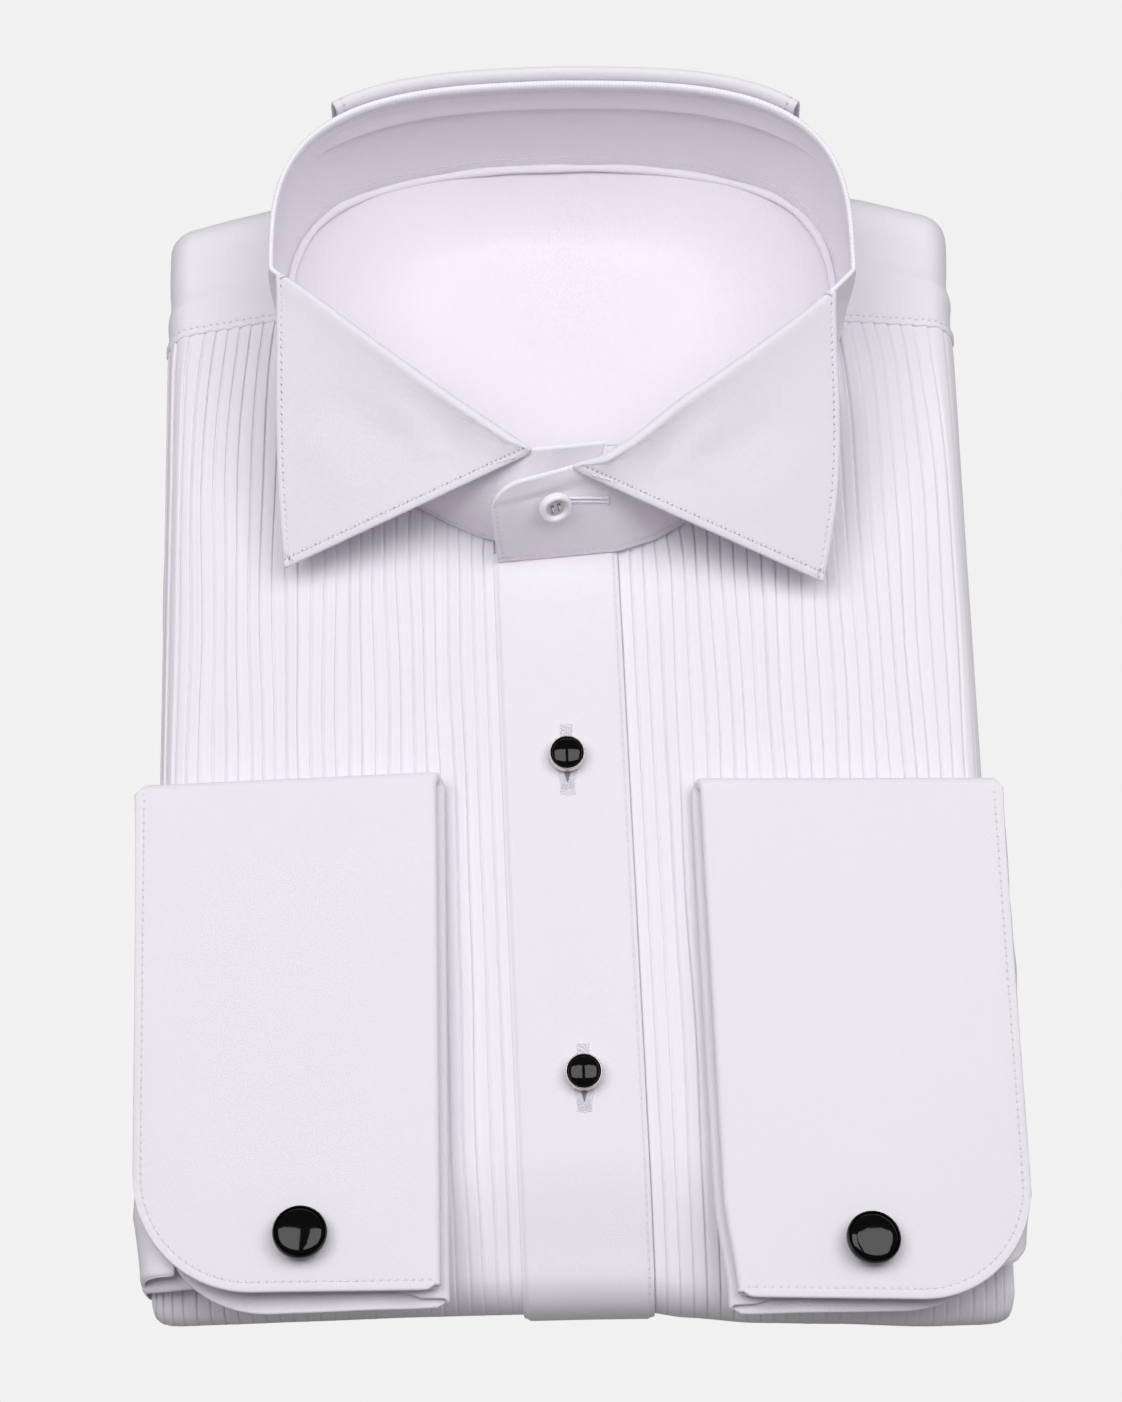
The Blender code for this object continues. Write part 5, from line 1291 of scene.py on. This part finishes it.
    # stitches keep one distance from the edge: up the free edge, round the corner, along the near end
    inset = cuffSize["seamAt"]
    straight = np.linspace(far[0] - 4.0, nearUpper[0] - corner[0] + radius, 60)
    roundIt = np.linspace(0.0, math.pi / 2.0, 30)
    free = np.concatenate([np.full(60, inset), radius - (radius - inset) * np.cos(roundIt),
                           np.linspace(radius, width - 1.0, 40)])
    base = mix(size["nearY"][1], size["nearY"][0], free / width)
    yRound = base[60:90] + radius - (radius - inset) * np.sin(roundIt)
    yLine = np.concatenate([straight, yRound, base[90:] + inset])
    along = np.clip((yLine - size["nearY"][0]) / (far.mean() - size["nearY"][0]), 0.0, 1.0)
    freeLine, foldLine = [mix(*size[edge], along) for edge in ("freeX", "foldX")]
    xLine = mix(freeLine, foldLine, free / width)
    zLine = mix(size["midZ"][1], size["midZ"][0], free / width) + cuffSize["outer"] + half
    zLine = zLine + cuffSwell(xLine * sign, yLine) * smooth(free / 12.0) - 0.06
    path = np.stack([xLine, yLine, zLine], -1)
    lines = [(path, straightUp(len(path)))]
    stitches = putStitches("cuffStitches" + side.capitalize(), lines,
                           dict(stitch, pitch=cuffSize["pitch"], height=0.13, width=0.30))
    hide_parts("cuff_" + side)
    return piece


for side in ("left", "right"):
    makeCuff(side)
print("cuffs done")


# out of the cuffs and round the packet's sides
sleeveLook = {
    "cloth": 3.2, "thin": 1.3,
    "slant": {"left": 1.0, "right": -0.06},      # how far its ends lean for each mm down the side
    # the tuck: x, y, z, half its width and half its height
    "tuck": ((-115.5, 10.6, 12.5, 2.3, 1.0), (-114.4, 10.6, 17.0, 3.1, 1.3), (-109.5, 10.5, 20.0, 3.4, 1.6),
             (-104.0, 10.5, 21.5, 3.2, 1.6), (-98.0, 10.1, 22.0, 2.6, 1.3), (-92.0, 10.6, 22.2, 1.6, 0.9)),
    # its section from under the cuff round the side: x, z
    "path": (
        (106.8, 26.9), (109.6, 26.7), (112.2, 25.3), (114.1, 22.8), (114.9, 19.0), (115.1, 13.0), (115.1, 7.5),
        (114.8, 5.0), (113.6, 3.8), (110.6, 3.5),
    ),
    "y": {"left": (8.0, 135.0), "right": (9.9, 138.0)},
    "endSteps": np.array([0.0, 0.15, 0.4, 0.8, 1.3, 2.0, 3.0, 4.5, 6.5]),
    "folds": (
        # along the section and from its near end, twice, then width and height
        (2.0, 14.0, 24.0, 22.0, 2.5, 0.4), (6.0, 52.0, 26.0, 44.0, 3.5, -0.4),
        (4.0, 78.0, 26.0, 90.0, 4.0, 0.4), (12.0, 104.0, 30.0, 98.0, 3.0, -0.4),
    ),
}


def eased(line, times):
    # each point between its ends goes halfway to the middle of its neighbours
    for _ in range(times):
        line[1:-1] = (line[:-2] + 2.0 * line[1:-1] + line[2:]) / 4.0
    return line


def finer(line, count):
    # more points on the same line, evenly along it, on a soft curve through its points
    along = lengths(line)
    at = np.linspace(0.0, along[-1], count)
    return eased(pickAt(line, along, at), 3)


def makeSleeve(side):
    # One section carried along y: its outer face lies a cloth's depth from the inner one. Its ends are rounded
    # and slanted.
    sign = 1.0 if side == "left" else -1.0
    near, far = sleeveLook["y"][side]
    path = finer(np.array(sleeveLook["path"]), 44)
    way = np.gradient(path, axis=0)
    across = unit(np.stack([-way[:, 1], way[:, 0]], -1))
    ends = sleeveLook["endSteps"]
    y = np.concatenate([near + ends, np.linspace(near + 9.0, far - 9.0, 40), far - ends[::-1]])
    fromEnd = np.minimum(y - near, far - y)
    rounding = np.sqrt(1.0 - (1.0 - np.clip(fromEnd / 1.6, 0.0, 1.0)) ** 2 * 0.9)
    full = smooth((path[:, 1] - 2.0) / 12.0)[:, None] * smooth((y - near) / 20.0)[None, :]
    depth = mix(sleeveLook["thin"], sleeveLook["cloth"], full) * rounding
    along = lengths(path)[:, None]
    folds = np.array(sleeveLook["folds"]) + np.array([0.0, near, 0.0, near, 0.0, 0.0])
    folds = creases(along + 0.0 * y, y + 0.0 * along, folds)
    depth = depth + folds * smooth(fromEnd / 8.0) * (depth > 1.6)
    slant = sleeveLook["slant"][side] * (path[0, 1] - path[:, 1])[:, None]
    slant = slant * np.where(y < mix(near, far, 0.5), 1.0, -0.5) * np.clip(1.0 - fromEnd / 30.0, 0.0, 1.0)
    faces = []
    for face in (1.0, 0.0):
        plan = path[:, None, :] + face * across[:, None, :] * depth[..., None]
        faces.append(np.stack([sign * plan[..., 0], y + slant, plan[..., 1]], -1))
    cloth = np.stack([along + 0.0 * y, y + 0.0 * along], -1)
    piece = closedSheet("sleeve" + side.capitalize(), faces[1], faces[0], cloth, bodyCotton)
    others = [makeTuck()] if side == "right" else []
    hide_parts("sleeve_" + side)
    return piece


def makeTuck():
    # the sleeve's end, rolled under the cuff's round corner
    table = np.array(sleeveLook["tuck"])
    at = np.linspace(0.0, 1.0, 60)
    line = eased(pickAt(table, np.linspace(0.0, 1.0, len(table)), at), 30)
    ends = roundEnds(np.minimum(at, 1.0 - at) / 0.06, 0.01)
    return putRoll("sleeveTuck", line[:, :3], line[:, 3] * ends, line[:, 4] * ends, 24)


for side in ("left", "right"):
    makeSleeve(side)
print("sleeves done")


# folded cloth under the fronts, which shows at the packet's edges
layers = {
    # reach beyond the skin's outline, lowest and highest z
    "table": ((-5.0, 0.0, 4.3), (1.0, 4.5, 7.4), (1.3, 7.6, 10.4)),
    "nearReach": -0.7,        # they stay back under the fronts' near end
    "wander": 0.45,
}


def packetOutline():
    # the skin's lowest line all round the packet, its points closer at the corners
    reach, arc = packet["nearRoll"][:2]
    low = nearEdge(0.0) + reach - arc
    high = packet["farEdge"] - packet["endRoll"] + packet["rollArc"]
    ease = np.linspace(0.0, 1.0, 90)
    ease = 0.5 - 0.5 * np.cos(math.pi * ease) * (0.82 + 0.18 * np.cos(math.pi * ease) ** 2)
    path = np.concatenate([
        np.stack([np.full(90, uEnd), mix(low, high, ease)], -1)[:-1],
        np.stack([mix(uEnd, -uEnd, ease), np.full(90, high)], -1)[:-1],
        np.stack([np.full(90, -uEnd), mix(high, low, ease)], -1)[:-1],
        np.stack([mix(-uEnd, uEnd, ease), np.full(90, low)], -1)[:-1],
    ])
    x = skin(path[:, 0], 100.0)[:, 0]
    near = nearEdge(x) + reach - arc
    far = farEdge(x) - packet["endRoll"] + packet["rollArc"]
    v = mix(near, far, (path[:, 1] - low) / (high - low))
    return skin(path[:, 0], v)


def makeLayers():
    # flat closed shells that follow the outline, with edges of half a circle in section, slightly waved
    foot = packetOutline()
    out = np.roll(foot, -1, axis=0) - np.roll(foot, 1, axis=0)
    out = unit(np.stack([out[:, 1], -out[:, 0]], -1))
    atNear = foot[:, 1] < nearEdge(foot[:, 0]) + packet["nearRoll"][0] + 0.4
    around = lengths(foot[:, :2])
    parts = []
    for number, (reach, lowest, highest) in enumerate(layers["table"]):
        bend = np.linspace(-math.pi / 2.0, math.pi / 2.0, 9)
        half = (highest - lowest) / 2.0
        wander = layers["wander"] * (np.sin(around / 23.0 + number * 2.1) + 0.5 * np.sin(around / 9.5 + number))
        move = np.where(atNear, layers["nearReach"], reach + wander * (number > 0))
        rings = []
        for angle in bend:
            plan = foot[:, :2] + out * (move - half * (1.0 - math.cos(angle)) * 0.9)[:, None]
            z = lowest + half + half * math.sin(angle)
            rings.append(np.concatenate([plan, np.full((len(plan), 1), z)], -1))
        middle = np.array([0.0, packet["middleY"]])
        for share in (0.8, 0.45, 0.15):
            flat = mix(middle, rings[-1][:, :2], share)
            rings.append(np.concatenate([flat, np.full((len(flat), 1), highest)], -1))
            base = mix(middle, rings[0][:, :2], share)
            rings.insert(0, np.concatenate([base, np.full((len(base), 1), lowest)], -1))
        rings = np.stack(rings)
        count = rings.shape[1]
        poles = [[0.0, packet["middleY"], lowest], [0.0, packet["middleY"], highest]]
        points = np.concatenate([rings.reshape(-1, 3), poles])
        index = np.arange(rings.shape[0] * count).reshape(rings.shape[0], count)
        index = np.concatenate([index, index[:, :1]], axis=1)
        bottom, top = len(points) - 2, len(points) - 1
        caps = [np.stack([np.full(count, bottom), index[0, 1:], index[0, :-1]], -1),
                np.stack([np.full(count, top), index[-1, :-1], index[-1, 1:]], -1)]
        faceSets = [gridFaces(index)] + caps
        parts.append((points, outwards(points - points[0], faceSets)))
    points, faceSets = joined(parts)
    flat = points[:, :2] * 0.001 + points[:, 2:] * (0.001, 0.0)
    piece = putMesh("packetLayers", points, faceSets, bodyCotton, {"cloth": flat, "seam": noSeam(len(flat))})
    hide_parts("packet_core")
    return piece


makeLayers()
print("layers done")


# sections of turned pieces are radius, height
studLook = {
    "places": {"upper": (-1.5, 151.05), "lower": (1.0, 61.9)},
    "rim": ((0, 0), (3.9, 0), (4.7, 0.25), (4.95, 0.9), (4.95, 1.8), (4.95, 2.7), (4.88, 3.05), (4.70, 3.2),
            (4.52, 3.08), (4.44, 2.5), (4.42, 1.9), (0, 1.9)),
    "face": ((0, 2.0), (3.9, 2.0), (4.34, 2.35), (4.32, 2.8), (3.9, 3.2), (3.2, 3.52), (2.2, 3.78),
             (1.1, 3.93), (0, 3.97)),
}
linkLook = {
    # x, y, lean away from the near end, lean to the right
    "places": {"left": (74.2, 13.6, 7.0, 8.0), "right": (-73.3, 18.1, 7.0, 2.0)},
    "case": ((0, -1.5), (2.0, -1.5), (2.0, -0.1), (5.9, 0.0), (6.8, 0.35), (7.1, 1.0), (7.1, 2.1),
             (6.98, 2.5), (6.75, 2.62), (6.55, 2.4), (6.45, 1.4), (0, 1.3)),
    "face": ((0, 1.5), (5.9, 1.5), (6.4, 1.8), (6.42, 2.1), (6.2, 2.45), (5.6, 2.85), (4.6, 3.12), (3.2, 3.25),
             (1.6, 3.31), (0, 3.33)),
    "lift": 2.2,
}
# the bar that shows beyond each link, where its slit ends: x, y, z of its middle, half its length
holeBars = {
    "Right": (-73.6, 27.0, 33.9, 1.9),
    "Left": (73.9, 22.5, 33.9, 1.9),
}


def putTurned(name, profile, place, axis, material, node):
    # a turned piece that stands for a solid, its section's corners rounded
    points, faceSets = turnedParts(rounded(profile, 3, 0.2), place, axis, 96)
    piece = putMesh(name, points, faceSets, material)
    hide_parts(node)
    return piece


def makeStuds():
    # each stands square on the placket
    for name, (x, y) in studLook["places"].items():
        seat = lifted(np.array(x), np.array(y), np.array(placketTop + 0.3))
        axis = skinNormal(np.array(x), np.array(y))
        title = "stud" + name.capitalize()
        node = "stud_" + name
        putTurned(title + "Rim", studLook["rim"], seat, axis, brightRim, node + "_rim")
        putTurned(title + "Face", studLook["face"], seat, axis, blackFace, node + "_face")


def makeLinks():
    # each leans a little in its cuff's upper layer
    for side, (x, y, back, right) in linkLook["places"].items():
        size = cuffs[side]
        share = (abs(size["freeX"][0]) - abs(x)) / abs(size["freeX"][0] - size["foldX"][0])
        top = mix(size["midZ"][1], size["midZ"][0], share) + cuffSize["outer"] + 0.7
        axis = (math.sin(math.radians(right)), math.sin(math.radians(back)), 1.0)
        place = (x, y, top + linkLook["lift"])
        title = "cufflink" + side.capitalize()
        node = "cufflink_" + side
        putTurned(title + "Case", linkLook["case"], place, axis, blackCase, node + "_case")
        putTurned(title + "Face", linkLook["face"], place, axis, blackFace, node + "_face")


studHole = {
    # beside the stud's middle and along the placket: the two lips below it, from the stud to the lower bar
    "lips": ((1.9, -3.9), (1.5, -5.8), (1.05, -7.8), (1.0, -9.4), (1.15, -11.2)),
    "lipRows": (-0.95, -0.5, -0.05, 0.4, 0.85),
    "stitch": dict(stitch, pitch=0.74, share=0.72, width=0.38, height=0.17, rings=3),
    # the dark sheet of painted shade in each slit: from and to, along the placket, and half its width at each
    # end
    "slit": (-4.0, -7.5), "slitHalf": (1.0, 0.10),
    "bars": {"upper": (7.75, -7.8), "lower": (6.7, -8.4)}, "barHalf": 1.9, "barReach": 1.5, "barStep": 0.42,
}


def makeBars(name, spots, half, reach):
    # short bars across the ends of a slit, each of close rows of small stitches
    lines = []
    for x, y, z in spots:
        for row, step in enumerate(np.arange(-reach, reach + 0.1, studHole["barStep"])):
            share = np.linspace(-1.0, 1.0, 12)
            wave = 0.12 * np.sin(share * 7.0 + row * 2.0)
            path = np.stack([x + share * half + 0.15 * (row % 2), y + step + wave, z + 0.0 * share], -1)
            lines.append((path, straightUp(12)))
    return putStitches(name, lines, studHole["stitch"])


def makeStudHoles():
    # round each stud's slit: two lips of stitches below it, a dark sheet of painted shade in the slit between
    # them, and a bar at each end
    for name, (x, y) in studLook["places"].items():
        table = np.array(studHole["lips"])
        aside, along = pickAt(table, np.linspace(0.0, 1.0, len(table)), np.linspace(0.0, 1.0, 24)).T
        lines = []
        for offset in studHole["lipRows"]:
            for side in (1.0, -1.0):
                u, v = x + side * (aside + offset), y + along + 0.2 * offset
                lines.append((lifted(u, v, np.full(24, placketTop + 0.04)), straightUp(24)))
        putStitches("studHole" + name.capitalize(), lines, studHole["stitch"])
        # painted shade: a dark sheet over the slit stands for the shade in it
        gap = lifted(np.full(16, x), y + np.linspace(*studHole["slit"], 16), np.full(16, placketTop + 0.22))
        points, faceSets = sweptParts(gap, np.linspace(*studHole["slitHalf"], 16), np.full(16, 0.14), 12)
        putMesh("paintedSlitShade" + name.capitalize(), points, faceSets, shadeCotton)
        spots = [lifted(np.array(x), np.array(y + bar), np.array(placketTop + 0.1))
                 for bar in studHole["bars"][name]]
        makeBars("studBars" + name.capitalize(), spots, studHole["barHalf"], studHole["barReach"])


makeStuds()
makeStudHoles()
makeLinks()
for side, (x, y, z, half) in holeBars.items():
    makeBars("cuffBar" + side, [(x, y, z)], half, 1.1)


buttonLook = {
    "at": (1.005, 0.70),        # shares of the band's loop and of its height
    "axis": (0.30, -0.865, 0.40),
    "body": ((0, 0.2), (3.4, 0.2), (4.3, 0.5), (4.6, 1.2), (4.6, 2.1), (4.45, 2.8), (4.0, 3.12), (3.4, 3.0),
             (3.0, 2.4), (2.85, 2.0), (0, 1.95)),
    "disc": ((0, 1.5), (2.5, 1.5), (2.86, 1.7), (2.84, 1.95), (2.6, 2.08), (0, 2.06)),
    # the dark cap of painted shade for each hole
    "hole": ((0, 1.9), (0.42, 1.9), (0.5, 2.1), (0.5, 2.26), (0.35, 2.3), (0, 2.24)),
    "holeAt": 0.954545,         # a hole's distance from the middle, along both ways
    # the buttonhole: shares of the loop, then its fall, half its width and half its end bar as shares of height
    "holeFrom": 0.997, "holeTo": 0.9715, "holeFall": 0.10, "holeHalf": 0.019, "barHalf": 0.045, "thread": 0.36,
}


def makeButton():
    # a turned button that leans on the band's lapped end, with four small dark caps of painted shade for its
    # holes and two lines of thread
    share, up = buttonLook["at"]
    here = bandPoint(np.array(share), np.array(up))
    alongBand = bandPoint(np.array(share + 0.01), np.array(up)) - here
    rise = bandPoint(np.array(share), np.array(up + 0.01)) - here
    face = unit(np.cross(alongBand, rise))
    face = -face if face[1] > 0.0 else face
    axis = unit(np.array(buttonLook["axis"]))
    place = here + face * (collar["wall"] / 2.0 + 0.5)
    body = putTurned("collarButton", buttonLook["body"], place, axis, buttonWhite, "collar_button")
    points, faceSets = turnedParts(rounded(buttonLook["disc"], 2), place, axis, 64)
    putMesh("buttonMiddle", points, faceSets, buttonMiddle)
    side = unit(np.cross(axis, (0.0, 0.0, 1.0)))
    other = np.cross(axis, side)
    holes, threads = [], []
    # painted shade: each hole is a small dark cap over the middle
    for a, b in ((1, 1), (1, -1), (-1, 1), (-1, -1)):
        spot = place + (side * a + other * b) * buttonLook["holeAt"]
        holes.append(turnedParts(rounded(buttonLook["hole"], 1), spot, axis, 20))
    points, faceSets = joined(holes)
    putMesh("buttonShadeCaps", points, faceSets, shadeCotton)
    for a in (1, -1):
        ends = [place + side * a * 0.95 + other * b * 1.0 + axis * 2.3 for b in (-1.0, 1.0)]
        lift = np.sin(np.linspace(0.0, math.pi, 9))[:, None] * axis * 0.22
        line = mix(ends[0], ends[1], np.linspace(0.0, 1.0, 9)[:, None]) + lift
        threads.append((line, np.tile(axis, (9, 1))))
    putStitches("buttonThread", threads, dict(stitch, pitch=2.0, share=1.0, width=0.55, height=0.3))
    return body


def makeButtonhole():
    # two thin rolls of close stitches beside the slit, and a bar where it ends
    up = buttonLook["at"][1]
    share = np.linspace(buttonLook["holeFrom"], buttonLook["holeTo"], 40)

    def onBand(share, up):
        # a point just over the band's outer face
        here = bandPoint(share, up)
        face = unit(np.cross(bandPoint(share + 0.004, up) - here, bandPoint(share, up + 0.01) - here))
        face = face * np.where(face[..., 1:2] > 0.0, -1.0, 1.0)
        return here + face * (collar["wall"] / 2.0 + 0.12)

    fall = buttonLook["holeFall"] * np.linspace(0.0, 1.0, 40)
    thread = np.full(40, buttonLook["thread"])
    parts = [sweptParts(onBand(share, up - fall + side * buttonLook["holeHalf"]), thread, thread, 12)
             for side in (1.0, -1.0)]
    tall = np.linspace(-1.0, 1.0, 20)
    end = onBand(np.full(20, share[-1]), up - fall[-1] + tall * buttonLook["barHalf"])
    barHalf = 0.5 * np.sqrt(1.02 - tall**4)
    parts.append(sweptParts(end, barHalf, barHalf, 12))
    points, faceSets = joined(parts)
    putMesh("buttonhole", points, faceSets, threadCotton)


makeButton()
makeButtonhole()
print("studs, links and button done")


def poseMatrix(right, above, back, place):
    # an object's pose from its three axes and its place
    pose = np.eye(4)
    pose[:3, 0], pose[:3, 1], pose[:3, 2], pose[:3, 3] = right, above, back, place
    return Matrix([list(row) for row in pose])


studio = {
    "floor": 30.0,
    "floorShown": 0.885,       # the floor is a lit table: this bright to the eye, and dull to what lies on it
    "floorGlow": (1.0, 0.996, 0.996, 1.0),
    "floorColour": (0.46, 0.445, 0.44),
    "world": (0.93, 0.93, 0.95),
    "worldStrength": 0.20, "mirrorLess": 0.75,
    "boxDistance": 1.3,
    "boxes": (
        # degrees towards the near end from straight above, degrees to the side, size across, size along, power
        (-6.1, -23.6, 1.06, 0.90, 10.6),
        (-6.1, 23.6, 1.06, 0.90, 10.6),
    ),
}


def makeStudio():
    # a pale floor, a dim even room and two soft boxes, to the left and the right above the shirt
    size = studio["floor"] / 2.0
    corners = [(-size, -size, -0.0004), (size, -size, -0.0004), (size, size, -0.0004), (-size, size, -0.0004)]
    mesh = bpy.data.meshes.new("floor")
    mesh.from_pydata(corners, [], [(0, 1, 2, 3)])
    floor = bpy.data.objects.new("floor", mesh)
    bpy.context.scene.collection.objects.link(floor)
    material, tree, shader = emptyMaterial("floorPaper")
    shader.inputs["Base Color"].default_value = (*studio["floorColour"], 1.0)
    shader.inputs["Roughness"].default_value = 1.0
    shader.inputs["Specular IOR Level"].default_value = 0.0
    glow = addNode(tree, "ShaderNodeEmission", None, Color=studio["floorGlow"], Strength=studio["floorShown"])
    seen = addNode(tree, "ShaderNodeLightPath").outputs["Is Camera Ray"]
    both = addNode(tree, "ShaderNodeMixShader", None, i0=seen, i1=shader.outputs[0], i2=glow.outputs[0])
    tree.links.new(both.outputs[0], tree.nodes["Material Output"].inputs["Surface"])
    mesh.materials.append(material)
    world = bpy.data.worlds.new("studio")
    bpy.context.scene.world = world
    world.use_nodes = True
    background = world.node_tree.nodes["Background"]
    background.inputs[0].default_value = (*studio["world"], 1.0)
    # bright faces mirror less of the room than the cloth takes from it
    mirrored = addNode(world.node_tree, "ShaderNodeLightPath").outputs["Is Glossy Ray"]
    strength = studio["worldStrength"]
    dimmed = maths(world.node_tree, "MULTIPLY_ADD", mirrored, -studio["mirrorLess"] * strength, strength)
    world.node_tree.links.new(dimmed, background.inputs[1])
    for number, (near, side, across, along, power) in enumerate(studio["boxes"]):
        back = np.array([math.tan(math.radians(side)), -math.tan(math.radians(near)), 1.0])
        light = bpy.data.lights.new("softbox%d" % number, "AREA")
        light.shape = "RECTANGLE"
        light.size, light.size_y = across, along
        light.energy = power
        lamp = bpy.data.objects.new("softbox%d" % number, light)
        # it faces the shirt, with its sides level and its ends square to the packet
        aim = unit(back)
        sideways = unit(np.cross((0.0, 1.0, 0.0), aim))
        lamp.matrix_world = poseMatrix(sideways, np.cross(aim, sideways), aim, back * studio["boxDistance"])
        bpy.context.scene.collection.objects.link(lamp)
    bpy.context.scene.view_settings.view_transform = "Standard"


camera = {
    "down": 69.0, "turn": 1.22,                # degrees it looks down, and turns to the side
    "place": (-10.50, -194.06, 968.73),
    "lens": 94.26,
}


def makeCamera():
    # a level camera that looks down at the shirt from its near end
    down, turn = math.radians(camera["down"]), math.radians(camera["turn"])
    ahead = np.array([math.sin(turn) * math.cos(down), math.cos(turn) * math.cos(down), -math.sin(down)])
    right = np.array([math.cos(turn), -math.sin(turn), 0.0])
    data = bpy.data.cameras.new("eye")
    data.lens = camera["lens"]
    data.sensor_width = 36.0
    data.sensor_fit = "AUTO"
    data.clip_start = 0.01
    data.dof.use_dof = False
    eye = bpy.data.objects.new("eye", data)
    eye.matrix_world = poseMatrix(right, np.cross(right, ahead), -ahead, toFrame(camera["place"]))
    bpy.context.scene.collection.objects.link(eye)
    bpy.context.scene.camera = eye


makeStudio()
makeCamera()
